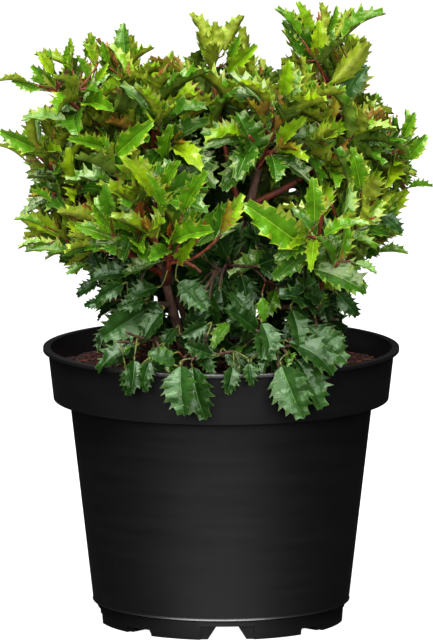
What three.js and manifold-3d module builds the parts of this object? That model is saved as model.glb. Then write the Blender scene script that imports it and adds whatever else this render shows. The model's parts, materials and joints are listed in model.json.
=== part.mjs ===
// A young holly shrub in a black plastic nursery pot, at its real size in millimetres.
// +Z is up and the origin is on the ground, at the centre of the pot's flat underside.
// The shrub's front faces -Y. Azimuths are degrees from +X towards +Y, so the front is at 270.
// Several stems rise from the soil. Each carries boughs, and each bough ends where it enters its
// mass of foliage, which is grown by one seeded rule from a leading shoot.

import * as THREE from 'three';
import { mergeVertices } from 'three/addons/utils/BufferGeometryUtils.js';
import Module from 'manifold-3d';

const wasm = await Module();
wasm.setup();

// Driving dimensions of the pot
const potHeight = 178;
const potWall = 1.8;
const rimRadius = 115;
const rimDepth = 3.6;
const collarTopRadius = 112;
const collarFootRadius = 108.2;
const collarFootHeight = 144.3;
const bodyTopRadius = 97.9;
const bodyFootRadius = 82.8;
const skirtHeight = 12.8;
const skirtTopRadius = 80.3;
const skirtFootRadius = 79.3;
const floorSheet = 2;
const roundSegments = 36;

// Drain channels under the pot: wide and narrow ones take turns round the skirt
const channelCount = 8;
const firstChannelAzimuth = -87.1;
const channelInnerRadius = 20;
const wideChannel = { footWidth: 26, roofWidth: 13.5, height: 9, notchWidth: 34.5 };
const narrowChannel = { footWidth: 17, roofWidth: 12, height: 4, notchWidth: 21 };
const notchInnerRadius = 75.5;

// Soil, a little below the rim
const soilHeight = 168;
const soilEdgeDrop = 3;
const soilFlatRadius = 74;

// Gaps between solids, and how finely they are welded and simplified
const clearance = 0.3;
const weldReach = 0.001;
const smallestDetail = 0.05;

// Stems, from below the soil's top, with a flare at the foot and an elbow that makes them lean out
const stemSink = 4;
const stemSides = 8;
const stemRings = 7;
const rootFlare = 1.65;
const flareHeight = 9;
const stemElbow = { outShare: 0.4, upShare: 0.55 };

// Boughs and shoots
const boughSides = 5;
const boughRings = 3;
const boughRootShare = 0.78;
const boughTipRadius = 1.8;
const boughShare = 0.5;
const twigSides = 3;
const shootRings = 2;
const shootTipRadius = 1.1;
const tipShootShare = 0.85;
const shootElbow = { outShare: 0.55, risingShare: 0.3, fallingShare: -0.2, arch: 4 };
const tipElbowShare = 0.45;
const branchRadiusShare = 0.8;
const branchingShares = [0.1, 0.3];

// A short spur leaves each leader, outwards within a spread in radians
const spur = { length: 25, radiusShare: 0.65, places: [0.35, 0.65], lengths: [0.8, 1.2], spread: 3.4 };
const spurRise = { young: 0.9, old: 0.1 };

// Leaves: fewer and larger than on the living shrub
const leafLength = 45;
const leafWidthShare = 0.5;
const leafWidestAt = 0.45;
const leafThickness = 1.2;
const leafFold = 0.34;
const leafDroop = 0.1;
const leafSink = 0.1;
const leafLean = { first: 24, step: 10, most: 80 };
const leafSizeSpread = [0.88, 1.08];
const firstLeafShare = 0.82;
const sag = { young: 0.12, old: 0.55 };
const skyPull = 0.35;
const goldenAngle = 137.508;
const rosetteSteps = [1.3, 4.6, 9, 14];
const leafSpacing = 11.5;
const leafyStretch = 62;

// A leaf that doesn't fit is rolled round its shoot, then made smaller, then left out
const leafRolls = [0, 38, -38, 76, -76, 114, -114];
const leafSizes = [1, 0.78];
const leafGap = 0.1;
const leafRootShare = 0.1;

// Each mass keeps to its own space: nearer to its own shoots than to any other's, give or take
const overreach = 7;
const budReach = 12;
const spaceShares = [0.1, 0.3, 0.5, 0.7, 0.85, 1];

// The crown's outline: a rounded barrel that draws in to a skirt over the rim, lower at the front
const crownReach = 140;
const crownMiddle = 262;
const crownHalfHeight = 142;
const crownRoundness = 4;
const skirtReach = 80;
const frontSkirtReach = 131;
const frontSkirtWidth = 150;
const skirtTop = 255;
const hangDepth = 25;

const materials = {
  pot: new THREE.MeshStandardMaterial({ color: 0x1b1b1c, roughness: 0.42, metalness: 0 }),
  soil: new THREE.MeshStandardMaterial({ color: 0x3d1f16, roughness: 1, metalness: 0 }),
  bark: new THREE.MeshStandardMaterial({ color: 0x5f4032, roughness: 0.85, metalness: 0 }),
  wood: new THREE.MeshStandardMaterial({ color: 0x7b3f2a, roughness: 0.7, metalness: 0 }),
  young: new THREE.MeshStandardMaterial({ color: 0x6ea02c, roughness: 0.4, metalness: 0 }),
  old: new THREE.MeshStandardMaterial({ color: 0x2f5c33, roughness: 0.4, metalness: 0 }),
};

// Stems: foot [azimuth, reach] on the soil, top [azimuth, reach, height] at the fork or tip
const stems = {
  front_left: { foot: [237, 40], top: [231, 63, 240], radius: 3.3, tipRadius: 2.5 },
  right: { foot: [293, 15], top: [312, 88, 249], radius: 3.4, tipRadius: 2.2 },
  centre: { foot: [100, 5], top: [314, 35, 298], radius: 3.6, tipRadius: 2.4 },
  back_left: { foot: [130, 22], top: [172, 58, 284], radius: 3.4, tipRadius: 2.3 },
  back_right: { foot: [35, 24], top: [7, 64, 308], radius: 3.4, tipRadius: 2.3 },
};

// Masses of foliage: the stem, how far up it the bough leaves (1 is its tip, with no bough), and the
// shoots' tips [azimuth, reach, height], of which the first is the leader's
const massTable = {
  front_upper: { stem: 'front_left', at: 1, age: 'young', tips: [[246, 92, 290], [219, 88, 303]] },
  left_front: { stem: 'front_left', at: 0.9, age: 'young', tips: [[229, 105, 262], [212, 98, 250]] },
  front_left: { stem: 'front_left', at: 0.8, age: 'young', tips: [[252, 104, 262], [262, 92, 240]] },
  skirt_left: { stem: 'front_left', at: 0.6, age: 'old', tips: [[215, 92, 218], [228, 90, 207]] },
  skirt_front_left: { stem: 'front_left', at: 0.35, age: 'old', tips: [[236, 100, 193], [248, 104, 190]] },
  skirt_front: { stem: 'front_left', at: 0.2, age: 'old', tips: [[262, 112, 189], [274, 108, 192]] },
  front_right: { stem: 'right', at: 1, age: 'young', tips: [[300, 109, 264], [310, 100, 284]] },
  right_front: { stem: 'right', at: 0.86, age: 'young', tips: [[326, 106, 280], [334, 112, 262]] },
  front_low_right: { stem: 'right', at: 0.72, age: 'young', tips: [[309, 104, 228], [323, 102, 233]] },
  skirt_right: { stem: 'right', at: 0.5, age: 'old', tips: [[318, 96, 200], [306, 104, 192]] },
  skirt_front_right: { stem: 'right', at: 0.3, age: 'old', tips: [[292, 112, 190], [283, 104, 204]] },
  upper_right: { stem: 'centre', at: 1, age: 'young', tips: [[318, 60, 341], [290, 52, 322], [324, 72, 316]] },
  heart: { stem: 'centre', at: 0.42, age: 'old', tips: [[274, 66, 246], [262, 90, 224], [298, 62, 256]] },
  right_upper: { stem: 'centre', at: 0.8, age: 'young', tips: [[341, 90, 320], [355, 82, 338]] },
  top: { stem: 'centre', at: 0.7, age: 'young', tips: [[108, 22, 361], [30, 28, 350]] },
  back: { stem: 'centre', at: 0.5, age: 'young', tips: [[92, 104, 284], [78, 100, 256]] },
  upper_left: { stem: 'back_left', at: 1, age: 'young', tips: [[186, 106, 346], [176, 86, 337]] },
  upper_back_left: { stem: 'back_left', at: 0.86, age: 'young', tips: [[166, 68, 356], [148, 72, 338]] },
  top_left: { stem: 'back_left', at: 0.78, age: 'young', tips: [[193, 44, 342], [215, 48, 328]] },
  left: { stem: 'back_left', at: 0.7, age: 'young', tips: [[188, 118, 304], [196, 112, 282]] },
  low_left: { stem: 'back_left', at: 0.5, age: 'young', tips: [[200, 106, 247], [188, 104, 256]] },
  back_left: { stem: 'back_left', at: 0.62, age: 'young', tips: [[132, 110, 302], [155, 112, 286]] },
  back_low_left: { stem: 'back_left', at: 0.36, age: 'old', tips: [[122, 104, 228], [150, 106, 244]] },
  top_right: { stem: 'back_right', at: 1, age: 'young', tips: [[4, 65, 374], [14, 84, 362]] },
  right: { stem: 'back_right', at: 0.8, age: 'young', tips: [[358, 117, 308], [0, 120, 278]] },
  low_right: { stem: 'back_right', at: 0.5, age: 'young', tips: [[344, 100, 249], [4, 100, 246]] },
  back_right: { stem: 'back_right', at: 0.66, age: 'young', tips: [[44, 110, 300], [26, 112, 288]] },
  back_low_right: { stem: 'back_right', at: 0.36, age: 'old', tips: [[57, 104, 226], [32, 104, 240]] },
  back_top: { stem: 'back_right', at: 0.88, age: 'young', tips: [[78, 68, 342], [112, 66, 340]] },
};
const masses = Object.entries(massTable).map(([name, mass]) => ({ name, ...mass }));

const holly = new THREE.Group();

// Seeded random numbers from 0 to 1
function seededRandom(seed) {
  let state = seed >>> 0;
  return () => {
    state = (state + 0x6D2B79F5) >>> 0;
    let mixed = Math.imul(state ^ (state >>> 15), state | 1);
    mixed ^= mixed + Math.imul(mixed ^ (mixed >>> 7), mixed | 61);
    return ((mixed ^ (mixed >>> 14)) >>> 0) / 4294967296;
  };
}

function polar(azimuth, reach, height) {
  const angle = THREE.MathUtils.degToRad(azimuth);
  return new THREE.Vector3(reach * Math.cos(angle), reach * Math.sin(angle), height);
}

// A closed geometry as a solid for joining and cutting
function asSolid(geometry) {
  geometry.deleteAttribute('normal');
  geometry.deleteAttribute('uv');
  const merged = mergeVertices(geometry, weldReach);
  const corners = merged.index.array;
  const triVerts = [];
  for (let i = 0; i < corners.length; i += 3) {
    const [a, b, c] = corners.slice(i, i + 3);
    if (a !== b && b !== c && c !== a) triVerts.push(a, b, c);
  }
  const vertProperties = new Float32Array(merged.attributes.position.array);
  return new wasm.Manifold(new wasm.Mesh({
    numProp: 3,
    vertProperties,
    triVerts: new Uint32Array(triVerts),
  }));
}

function shapeSolid(points, faces) {
  const geometry = new THREE.BufferGeometry();
  geometry.setFromPoints(points);
  geometry.setIndex(faces);
  return asSolid(geometry);
}

function asGeometry(solid) {
  const { numProp, vertProperties, triVerts } = solid.getMesh();
  const geometry = new THREE.BufferGeometry();
  geometry.setAttribute('position', new THREE.BufferAttribute(vertProperties, numProp));
  geometry.setIndex(new THREE.BufferAttribute(triVerts, 1));
  return geometry;
}

function addNode(name, solid, material) {
  const geometry = asGeometry(solid);
  geometry.computeVertexNormals();
  const mesh = new THREE.Mesh(geometry, material);
  mesh.name = name;
  holly.add(mesh);
}

// A solid turned from a profile of [radius, height] points that starts and ends on the axis
function turned(profile) {
  const points = profile.map(([radius, height]) => new THREE.Vector2(radius, height));
  const geometry = new THREE.LatheGeometry(points, roundSegments);
  geometry.rotateX(Math.PI / 2);
  return asSolid(geometry);
}

// A straight prism that runs out along an azimuth, with a trapezoid section standing on the ground
function radialPrism(azimuth, from, to, footWidth, roofWidth, height) {
  const below = 1;
  const section = new THREE.Shape();
  section.moveTo(-footWidth / 2, -below);
  section.lineTo(footWidth / 2, -below);
  section.lineTo(roofWidth / 2, height);
  section.lineTo(-roofWidth / 2, height);
  section.closePath();
  const geometry = new THREE.ExtrudeGeometry(section, { depth: to - from, bevelEnabled: false });
  geometry.translate(0, 0, from);
  geometry.rotateX(Math.PI / 2);
  geometry.rotateZ(THREE.MathUtils.degToRad(azimuth + 90));
  return asSolid(geometry);
}

// All the drain channels and the skirt's notches, made larger by grow for the sheet round them
function drainChannels(grow) {
  const bodies = [];
  for (let i = 0; i < channelCount; i += 1) {
    const channel = i % 2 === 0 ? wideChannel : narrowChannel;
    const azimuth = firstChannelAzimuth + (i * 360) / channelCount;
    const height = channel.height + grow;
    const outside = bodyFootRadius + 4;
    const foot = channel.footWidth + 2 * grow;
    const roof = channel.roofWidth + 2 * grow;
    const notch = channel.notchWidth + 2 * grow;
    bodies.push(radialPrism(azimuth, channelInnerRadius - grow, outside, foot, roof, height));
    bodies.push(radialPrism(azimuth, notchInnerRadius - grow, outside, notch, notch, height));
  }
  return wasm.Manifold.union(bodies);
}

// The inside of the pot, drawn in by inset from the inner walls and closed at the height top
function potInside(inset, top, edgeTop, flatRadius) {
  const inner = potWall + inset;
  const step = collarFootHeight + inner;
  const collarSlope = (collarTopRadius - collarFootRadius) / (potHeight - collarFootHeight);
  const edgeRadius = collarFootRadius - inner + collarSlope * (edgeTop - step);
  return turned([
    [0, floorSheet + inset],
    [skirtFootRadius - inner, floorSheet + inset],
    [skirtTopRadius - inner, skirtHeight + inner],
    [bodyFootRadius - inner, skirtHeight + inner],
    [bodyTopRadius - inner, step],
    [collarFootRadius - inner, step],
    [edgeRadius, edgeTop],
    [flatRadius, top],
    [0, top],
  ]).subtract(drainChannels(potWall + inset));
}

function makePot() {
  const outside = turned([
    [0, 0],
    [skirtFootRadius, 0],
    [skirtTopRadius, skirtHeight],
    [bodyFootRadius, skirtHeight],
    [bodyTopRadius, collarFootHeight],
    [collarFootRadius, collarFootHeight],
    [collarTopRadius, potHeight - rimDepth],
    [rimRadius, potHeight - rimDepth],
    [rimRadius, potHeight],
    [0, potHeight],
  ]);
  const over = potHeight + 1;
  const inside = potInside(0, over, over, soilFlatRadius);
  return outside.subtract(drainChannels(0)).subtract(inside);
}

function makeSoil() {
  return potInside(clearance, soilHeight, soilHeight - soilEdgeDrop, soilFlatRadius);
}

// A closed limb along a curve from the share t0 to the share t1, with the radius from radiusAt(share)
function sweptLimb(curve, t0, t1, radiusAt, sides, rings) {
  const points = [];
  let across = new THREE.Vector3(0.31, 0.95, 0.05);
  for (let ring = 0; ring <= rings; ring += 1) {
    const share = ring / rings;
    const t = t0 + (t1 - t0) * share;
    const along = curve.getTangent(t);
    across = across.clone().addScaledVector(along, -across.dot(along)).normalize();
    const other = along.clone().cross(across);
    const centre = curve.getPoint(t);
    for (let side = 0; side < sides; side += 1) {
      const angle = (side / sides) * Math.PI * 2;
      points.push(centre.clone()
        .addScaledVector(across, Math.cos(angle) * radiusAt(share))
        .addScaledVector(other, Math.sin(angle) * radiusAt(share)));
    }
  }
  const faces = [];
  for (let ring = 0; ring < rings; ring += 1) {
    for (let side = 0; side < sides; side += 1) {
      const next = (side + 1) % sides;
      const low = ring * sides;
      const high = low + sides;
      faces.push(low + side, low + next, high + next, low + side, high + next, high + side);
    }
  }
  const last = rings * sides;
  for (let side = 1; side < sides - 1; side += 1) {
    faces.push(0, side + 1, side, last, last + side, last + side + 1);
  }
  return shapeSolid(points, faces);
}

// The path of a stem, which starts below the soil's top and leans more as it rises
function stemPath({ foot, top }) {
  const start = polar(...foot, soilHeight - stemSink);
  const end = polar(...top);
  const elbow = start.clone().lerp(end, stemElbow.outShare);
  elbow.z = THREE.MathUtils.lerp(start.z, end.z, stemElbow.upShare);
  return new THREE.QuadraticBezierCurve3(start, elbow, end);
}

// The path of a bough and the shoot after it: outwards first, then up, or over and down
function shootPath(start, end) {
  const { outShare, risingShare, fallingShare, arch } = shootElbow;
  const rise = end.z - start.z;
  const elbow = start.clone().lerp(end, outShare);
  elbow.z = start.z + (rise > 0 ? risingShare * rise : arch + fallingShare * rise);
  return new THREE.QuadraticBezierCurve3(start, elbow, end);
}

// The path of a shoot that goes on from a stem's tip, the same way as the stem
function tipPath(stem, end) {
  const path = stemPath(stem);
  const heading = path.getTangent(1);
  const start = path.getPoint(1).addScaledVector(heading, clearance);
  const elbow = start.clone().addScaledVector(heading, tipElbowShare * start.distanceTo(end));
  return new THREE.QuadraticBezierCurve3(start, elbow, end);
}

function grownRadius(radius, sides) {
  return (radius + clearance) / Math.cos(Math.PI / sides);
}

function stemSolid(stem, grow) {
  const path = stemPath(stem);
  const height = stem.top[2] - soilHeight;
  const radiusAt = (share) => {
    const flare = Math.max(0, 1 - (share * height) / flareHeight);
    const radius = THREE.MathUtils.lerp(stem.radius, stem.tipRadius, share);
    const flared = radius * (1 + (rootFlare - 1) * flare * flare);
    return grow ? grownRadius(flared, stemSides) : flared;
  };
  const limb = sweptLimb(path, 0, 1, radiusAt, stemSides, stemRings);
  return limb.trimByPlane([0, 0, 1], soilHeight + clearance);
}

// The largest body of a solid: loose scraps are dropped and sealed hollows are filled
function mainBody(solid) {
  const bodies = asSolid(asGeometry(solid.simplify(smallestDetail))).decompose();
  return bodies.reduce((best, body) => (body.volume() > best.volume() ? body : best));
}

function withBox(solid) {
  return { solid, box: solid.boundingBox() };
}

function apart(box, other, reach) {
  return [0, 1, 2].some((axis) => box.min[axis] > other.max[axis] + reach
    || other.min[axis] > box.max[axis] + reach);
}

function isClear(solid, others, gap) {
  const box = solid.boundingBox();
  return others.every((other) => apart(box, other.box, gap) || solid.minGap(other.solid, gap) >= gap);
}

function between([low, high], share) {
  return THREE.MathUtils.lerp(low, high, share);
}

// A short side shoot from a leader, outwards and up
function growSpur(leader, age, random) {
  const start = leader.path.getPoint(between([leader.from, 1], between(spur.places, random())));
  const outward = Math.atan2(start.y, start.x) + (random() - 0.5) * spur.spread;
  const direction = new THREE.Vector3(Math.cos(outward), Math.sin(outward), spurRise[age]).normalize();
  const end = start.clone().addScaledVector(direction, spur.length * between(spur.lengths, random()));
  return { path: shootPath(start, end), from: 0, radius: leader.radius * spur.radiusShare, rings: 1 };
}

// The shoots of a mass: its leader, the branches to its other tips, and the leader's spur
function growShoots(mass, index) {
  const random = seededRandom(1000 + index);
  const stem = stems[mass.stem];
  const onTip = mass.at === 1;
  const end = polar(...mass.tips[0]);
  const path = onTip ? tipPath(stem, end) : shootPath(stemPath(stem).getPoint(mass.at), end);
  const from = onTip ? 0 : boughShare + clearance / path.getLength();
  const radius = onTip ? stem.tipRadius * tipShootShare : boughTipRadius;
  const leader = { path, from, radius, rings: shootRings };
  const branches = mass.tips.slice(1).map((tip) => {
    const start = path.getPoint(between([from, 1], between(branchingShares, random())));
    const branchPath = shootPath(start, polar(...tip));
    return { path: branchPath, from: 0, radius: radius * branchRadiusShare, rings: shootRings };
  });
  return [leader, ...branches, growSpur(leader, mass.age, random)];
}

function shootSolid(shoot) {
  const radiusAt = (share) => THREE.MathUtils.lerp(shoot.radius, shootTipRadius, share);
  return sweptLimb(shoot.path, shoot.from, 1, radiusAt, twigSides, shoot.rings);
}

// A leaf of eight faces: base, tip, left and right edges, and the two sides of the midrib
const leafFaces = [0, 4, 2, 2, 4, 1, 1, 4, 3, 3, 4, 0, 2, 5, 0, 1, 5, 2, 3, 5, 1, 0, 5, 3];
function leafPoints(base, along, upper, length) {
  const side = along.clone().cross(upper);
  const halfWidth = (length * leafWidthShare) / 2;
  const middle = base.clone().addScaledVector(along, length * leafWidestAt);
  const raised = middle.clone().addScaledVector(upper, halfWidth * leafFold);
  const tip = base.clone().addScaledVector(along, length).addScaledVector(upper, -leafDroop * length);
  return [
    base,
    tip,
    raised.clone().addScaledVector(side, -halfWidth),
    raised.clone().addScaledVector(side, halfWidth),
    middle.clone().addScaledVector(upper, leafThickness / 2),
    middle.clone().addScaledVector(upper, -leafThickness / 2),
  ];
}

function insideCrown(point) {
  const reach = Math.hypot(point.x, point.y);
  const overFront = point.y < 0 && Math.abs(point.x) < frontSkirtWidth / 2;
  const lowest = overFront && reach > rimRadius ? potHeight - hangDepth : potHeight + 1;
  if (point.z < lowest) return false;
  const rise = Math.max(0, point.z - crownMiddle) / crownHalfHeight;
  const widest = crownReach * (1 - rise ** crownRoundness) ** (1 / crownRoundness);
  const share = Math.min(1, (point.z - lowest) / (skirtTop - lowest));
  const skirt = overFront ? frontSkirtReach : skirtReach;
  return reach < THREE.MathUtils.lerp(skirt, widest, share * share);
}

// The places along a shoot, counted back from its tip, that carry leaves
function leafPlaces(length) {
  const last = Math.min(leafyStretch, length - shootTipRadius);
  const places = rosetteSteps.filter((step) => step < last);
  for (let back = rosetteSteps.at(-1) + leafSpacing; back < last; back += leafSpacing) {
    places.push(back);
  }
  return places;
}

// Every shoot, and the points along each mass's shoots that its space is measured from
const shootsByMass = masses.map(growShoots);
const spaceSamples = shootsByMass.map((shoots) => shoots.flatMap(({ path, from }) => {
  const samples = spaceShares.map((share) => path.getPoint(between([from, 1], share)));
  samples.push(path.getPoint(1).addScaledVector(path.getTangent(1), budReach));
  return samples;
}));

function inOwnSpace(point, index) {
  const distances = spaceSamples.map((samples) => (
    Math.min(...samples.map((sample) => sample.distanceTo(point)))));
  return distances.every((distance, other) => other === index || distance > distances[index] - overreach);
}

// The first way of setting a leaf at a place on a shoot that is clear of everything else
function placeLeaf(shoot, t, place, turn, size, droop, fits) {
  const axis = shoot.path.getTangent(t);
  const across = new THREE.Vector3(0.2, 0.1, 0.97).cross(axis).normalize();
  const other = axis.clone().cross(across);
  const lean = THREE.MathUtils.degToRad(Math.min(leafLean.first + place * leafLean.step, leafLean.most));
  for (const scale of leafSizes) {
    for (const roll of leafRolls) {
      const angle = THREE.MathUtils.degToRad(turn + place * goldenAngle + roll);
      const spread = across.clone().multiplyScalar(Math.cos(angle))
        .addScaledVector(other, Math.sin(angle));
      const along = axis.clone().multiplyScalar(Math.cos(lean))
        .addScaledVector(spread, Math.sin(lean));
      along.z -= droop * Math.sin(lean);
      along.normalize();
      const upper = axis.clone();
      upper.z += skyPull;
      upper.addScaledVector(along, -upper.dot(along)).normalize();
      const base = shoot.path.getPoint(t).addScaledVector(spread, -leafSink);
      const leaf = fits(leafPoints(base, along, upper, size * scale));
      if (leaf) return leaf;
    }
  }
  return null;
}

function growLeaves(shoots, index, obstacles) {
  const random = seededRandom(5000 + index);
  const droop = sag[masses[index].age];
  const leaves = [];
  const fits = (points) => {
    const placed = points.slice(1).every((point) => insideCrown(point) && inOwnSpace(point, index));
    if (!placed) return null;
    const solid = shapeSolid(points, leafFaces);
    const [root, ...rest] = points;
    const blade = shapeSolid([root.clone().lerp(rest[3], leafRootShare), ...rest], leafFaces);
    const clear = isClear(solid, obstacles, clearance) && isClear(blade, leaves, leafGap);
    return clear ? withBox(solid) : null;
  };
  for (const shoot of shoots) {
    const length = shoot.path.getLength() * (1 - shoot.from);
    const turn = random() * 360;
    leafPlaces(length).forEach((back, place) => {
      const t = 1 - (back / length) * (1 - shoot.from);
      const share = between(leafSizeSpread, random()) * (place === 0 ? firstLeafShare : 1);
      const leaf = placeLeaf(shoot, t, place, turn, leafLength * share, droop, fits);
      if (leaf) leaves.push(leaf);
    });
  }
  return leaves;
}

// The pot and the soil
const pot = makePot();
const soil = makeSoil();
addNode('pot', pot, materials.pot);
addNode('soil', soil, materials.soil);

// The stems, each clear of the ones before it
const limbs = [];
let grownLimbs = null;
function addLimb(name, solid, grown, material) {
  const clear = grownLimbs ? mainBody(solid.subtract(grownLimbs)) : solid;
  grownLimbs = grownLimbs ? grownLimbs.add(grown) : grown;
  addNode(name, clear, material);
  limbs.push(withBox(clear));
}
for (const [name, stem] of Object.entries(stems)) {
  addLimb(`stem_${name}`, stemSolid(stem, false), stemSolid(stem, true), materials.bark);
}

// The boughs, from the stems to the masses
masses.forEach((mass, index) => {
  if (mass.at === 1) return;
  const stem = stems[mass.stem];
  const rootRadius = between([stem.radius, stem.tipRadius], mass.at) * boughRootShare;
  const [leader] = shootsByMass[index];
  const radiusAt = (share) => between([rootRadius, boughTipRadius], share);
  const grownAt = (share) => grownRadius(radiusAt(share), boughSides);
  const solid = sweptLimb(leader.path, 0, boughShare, radiusAt, boughSides, boughRings);
  const grown = sweptLimb(leader.path, 0, boughShare, grownAt, boughSides, boughRings);
  addLimb(`bough_${mass.name}`, solid, grown, materials.wood);
});

// The shoots that are clear of the limbs and of the other masses' shoots
const fixed = [withBox(pot), withBox(soil), ...limbs];
const grownShoots = [];
masses.forEach((mass, index) => {
  shootsByMass[index].forEach((shoot, order) => {
    const solid = shootSolid(shoot);
    const others = grownShoots.filter((other) => other.index !== index);
    if (order > 0 && !isClear(solid, [...fixed, ...others], clearance)) return;
    grownShoots.push({ ...withBox(solid), shoot, index });
  });
});

// The masses of foliage, each in its own space
const grownMasses = [];
masses.forEach((mass, index) => {
  const own = grownShoots.filter((other) => other.index === index);
  const others = grownShoots.filter((other) => other.index !== index);
  const leaves = growLeaves(own.map(({ shoot }) => shoot), index, [...fixed, ...others, ...grownMasses]);
  const solid = mainBody(wasm.Manifold.union([...own, ...leaves].map((body) => body.solid)));
  addNode(`foliage_${mass.name}`, solid, materials[mass.age]);
  grownMasses.push(withBox(solid));
});

export default holly;
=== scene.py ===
# Dresses a packed young holly shrub in its nursery pot: bark, twigs, spiny leaves, soil and plastic.
# Lengths are in millimetres in the part's own frame, and become metres when a mesh is made.
# +Z is up, the shrub's front faces -Y, and azimuths are degrees from +X towards +Y.

import json
import math
from collections import namedtuple

import bmesh
import bpy
import numpy as np
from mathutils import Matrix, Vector, noise

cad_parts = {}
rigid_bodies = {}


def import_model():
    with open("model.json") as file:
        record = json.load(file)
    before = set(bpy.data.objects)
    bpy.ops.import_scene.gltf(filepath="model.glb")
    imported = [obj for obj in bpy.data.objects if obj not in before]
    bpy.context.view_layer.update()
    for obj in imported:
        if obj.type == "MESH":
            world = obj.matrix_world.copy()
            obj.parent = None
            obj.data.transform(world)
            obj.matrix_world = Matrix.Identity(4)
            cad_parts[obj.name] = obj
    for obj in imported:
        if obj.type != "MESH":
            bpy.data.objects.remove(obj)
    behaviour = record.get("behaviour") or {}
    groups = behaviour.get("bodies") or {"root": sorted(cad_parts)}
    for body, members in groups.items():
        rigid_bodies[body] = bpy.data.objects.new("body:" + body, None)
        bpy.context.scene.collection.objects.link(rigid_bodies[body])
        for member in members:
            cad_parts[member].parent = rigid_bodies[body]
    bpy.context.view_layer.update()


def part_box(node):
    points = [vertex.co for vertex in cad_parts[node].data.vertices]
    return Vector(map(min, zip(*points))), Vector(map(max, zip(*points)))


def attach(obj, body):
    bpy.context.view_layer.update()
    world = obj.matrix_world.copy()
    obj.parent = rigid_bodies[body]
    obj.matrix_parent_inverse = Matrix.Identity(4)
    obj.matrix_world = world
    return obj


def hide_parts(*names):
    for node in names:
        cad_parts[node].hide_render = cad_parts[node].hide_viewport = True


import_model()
MM = 0.001
RANDOM_SEED = 1863
CURVE_POINTS = 65

# The camera stands where the photograph was taken from
CAMERA_PLACE = (-0.003, -6.0, 1.139)
CAMERA_PITCH = 8.94
CAMERA_LENS = 529.6
CAMERA_SIGHT = 50
SENSOR_SIZE = 36

# The pot and the soil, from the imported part
POT_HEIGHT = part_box("pot")[1].z / MM
RIM_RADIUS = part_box("pot")[1].x / MM
SOIL_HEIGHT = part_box("soil")[1].z / MM
POT_WALL = 1.8
RIM_DEPTH = 2.4
COLLAR_TOP_RADIUS = 112
COLLAR_FOOT_RADIUS = 108.2
COLLAR_FOOT_HEIGHT = 144.3
BODY_TOP_RADIUS = 97.9
BODY_FOOT_RADIUS = 82.8
SKIRT_HEIGHT = 12.8
SKIRT_TOP_RADIUS = 80.3
SKIRT_FOOT_RADIUS = 79.3
INNER_FLOOR = 24.2
POT_SEGMENTS = 192
# The bead above the skirt: how far out from the wall's foot and how far above the skirt its corners are
SKIRT_BEAD = ((0.5, 0.5), (0.15, 1.3), (0.25, 2.2))
INNER_FLOOR_SPREAD = 1.3
# Rounding radii by corner of the pot's profile
POT_ROUNDING = {1: 0.5, 7: 1.2, 8: 0.5, 9: 0.8, 10: 0.3, 11: 0.25, 12: 0.25, 13: 1}
ROUNDING_STEPS = 4
CREASE_ANGLE = 32
CHANNEL_COUNT = 8
FIRST_CHANNEL_AZIMUTH = -87.1
CHANNEL_INNER_RADIUS = 20
CHANNEL_PAST_WALL = 4
CHANNEL_BELOW_FOOT = 1
NOTCH_INNER_RADIUS = 75.5
NOTCH_LEAN = 0.14
WIDE_CHANNEL = {"foot": 26, "roof": 13.5, "height": 9, "notch": 34.5}
NARROW_CHANNEL = {"foot": 17, "roof": 12, "height": 4, "notch": 21}

# Stems: foot [azimuth, reach] on the soil, top [azimuth, reach, height] at the fork or tip
STEM_SINK = 4
STEM_ELBOW = (0.4, 0.55)
ROOT_FLARE = 1.65
FLARE_HEIGHT = 9
STEMS = {
    "front_left": {"foot": (237, 40), "top": (231, 63, 240), "radius": 3.3, "tip_radius": 2.5},
    "right": {"foot": (293, 15), "top": (312, 88, 249), "radius": 3.4, "tip_radius": 2.2},
    "centre": {"foot": (100, 5), "top": (314, 35, 298), "radius": 3.6, "tip_radius": 2.4},
    "back_left": {"foot": (130, 22), "top": (172, 58, 284), "radius": 3.4, "tip_radius": 2.3},
    "back_right": {"foot": (35, 24), "top": (7, 64, 308), "radius": 3.4, "tip_radius": 2.3},
}

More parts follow.
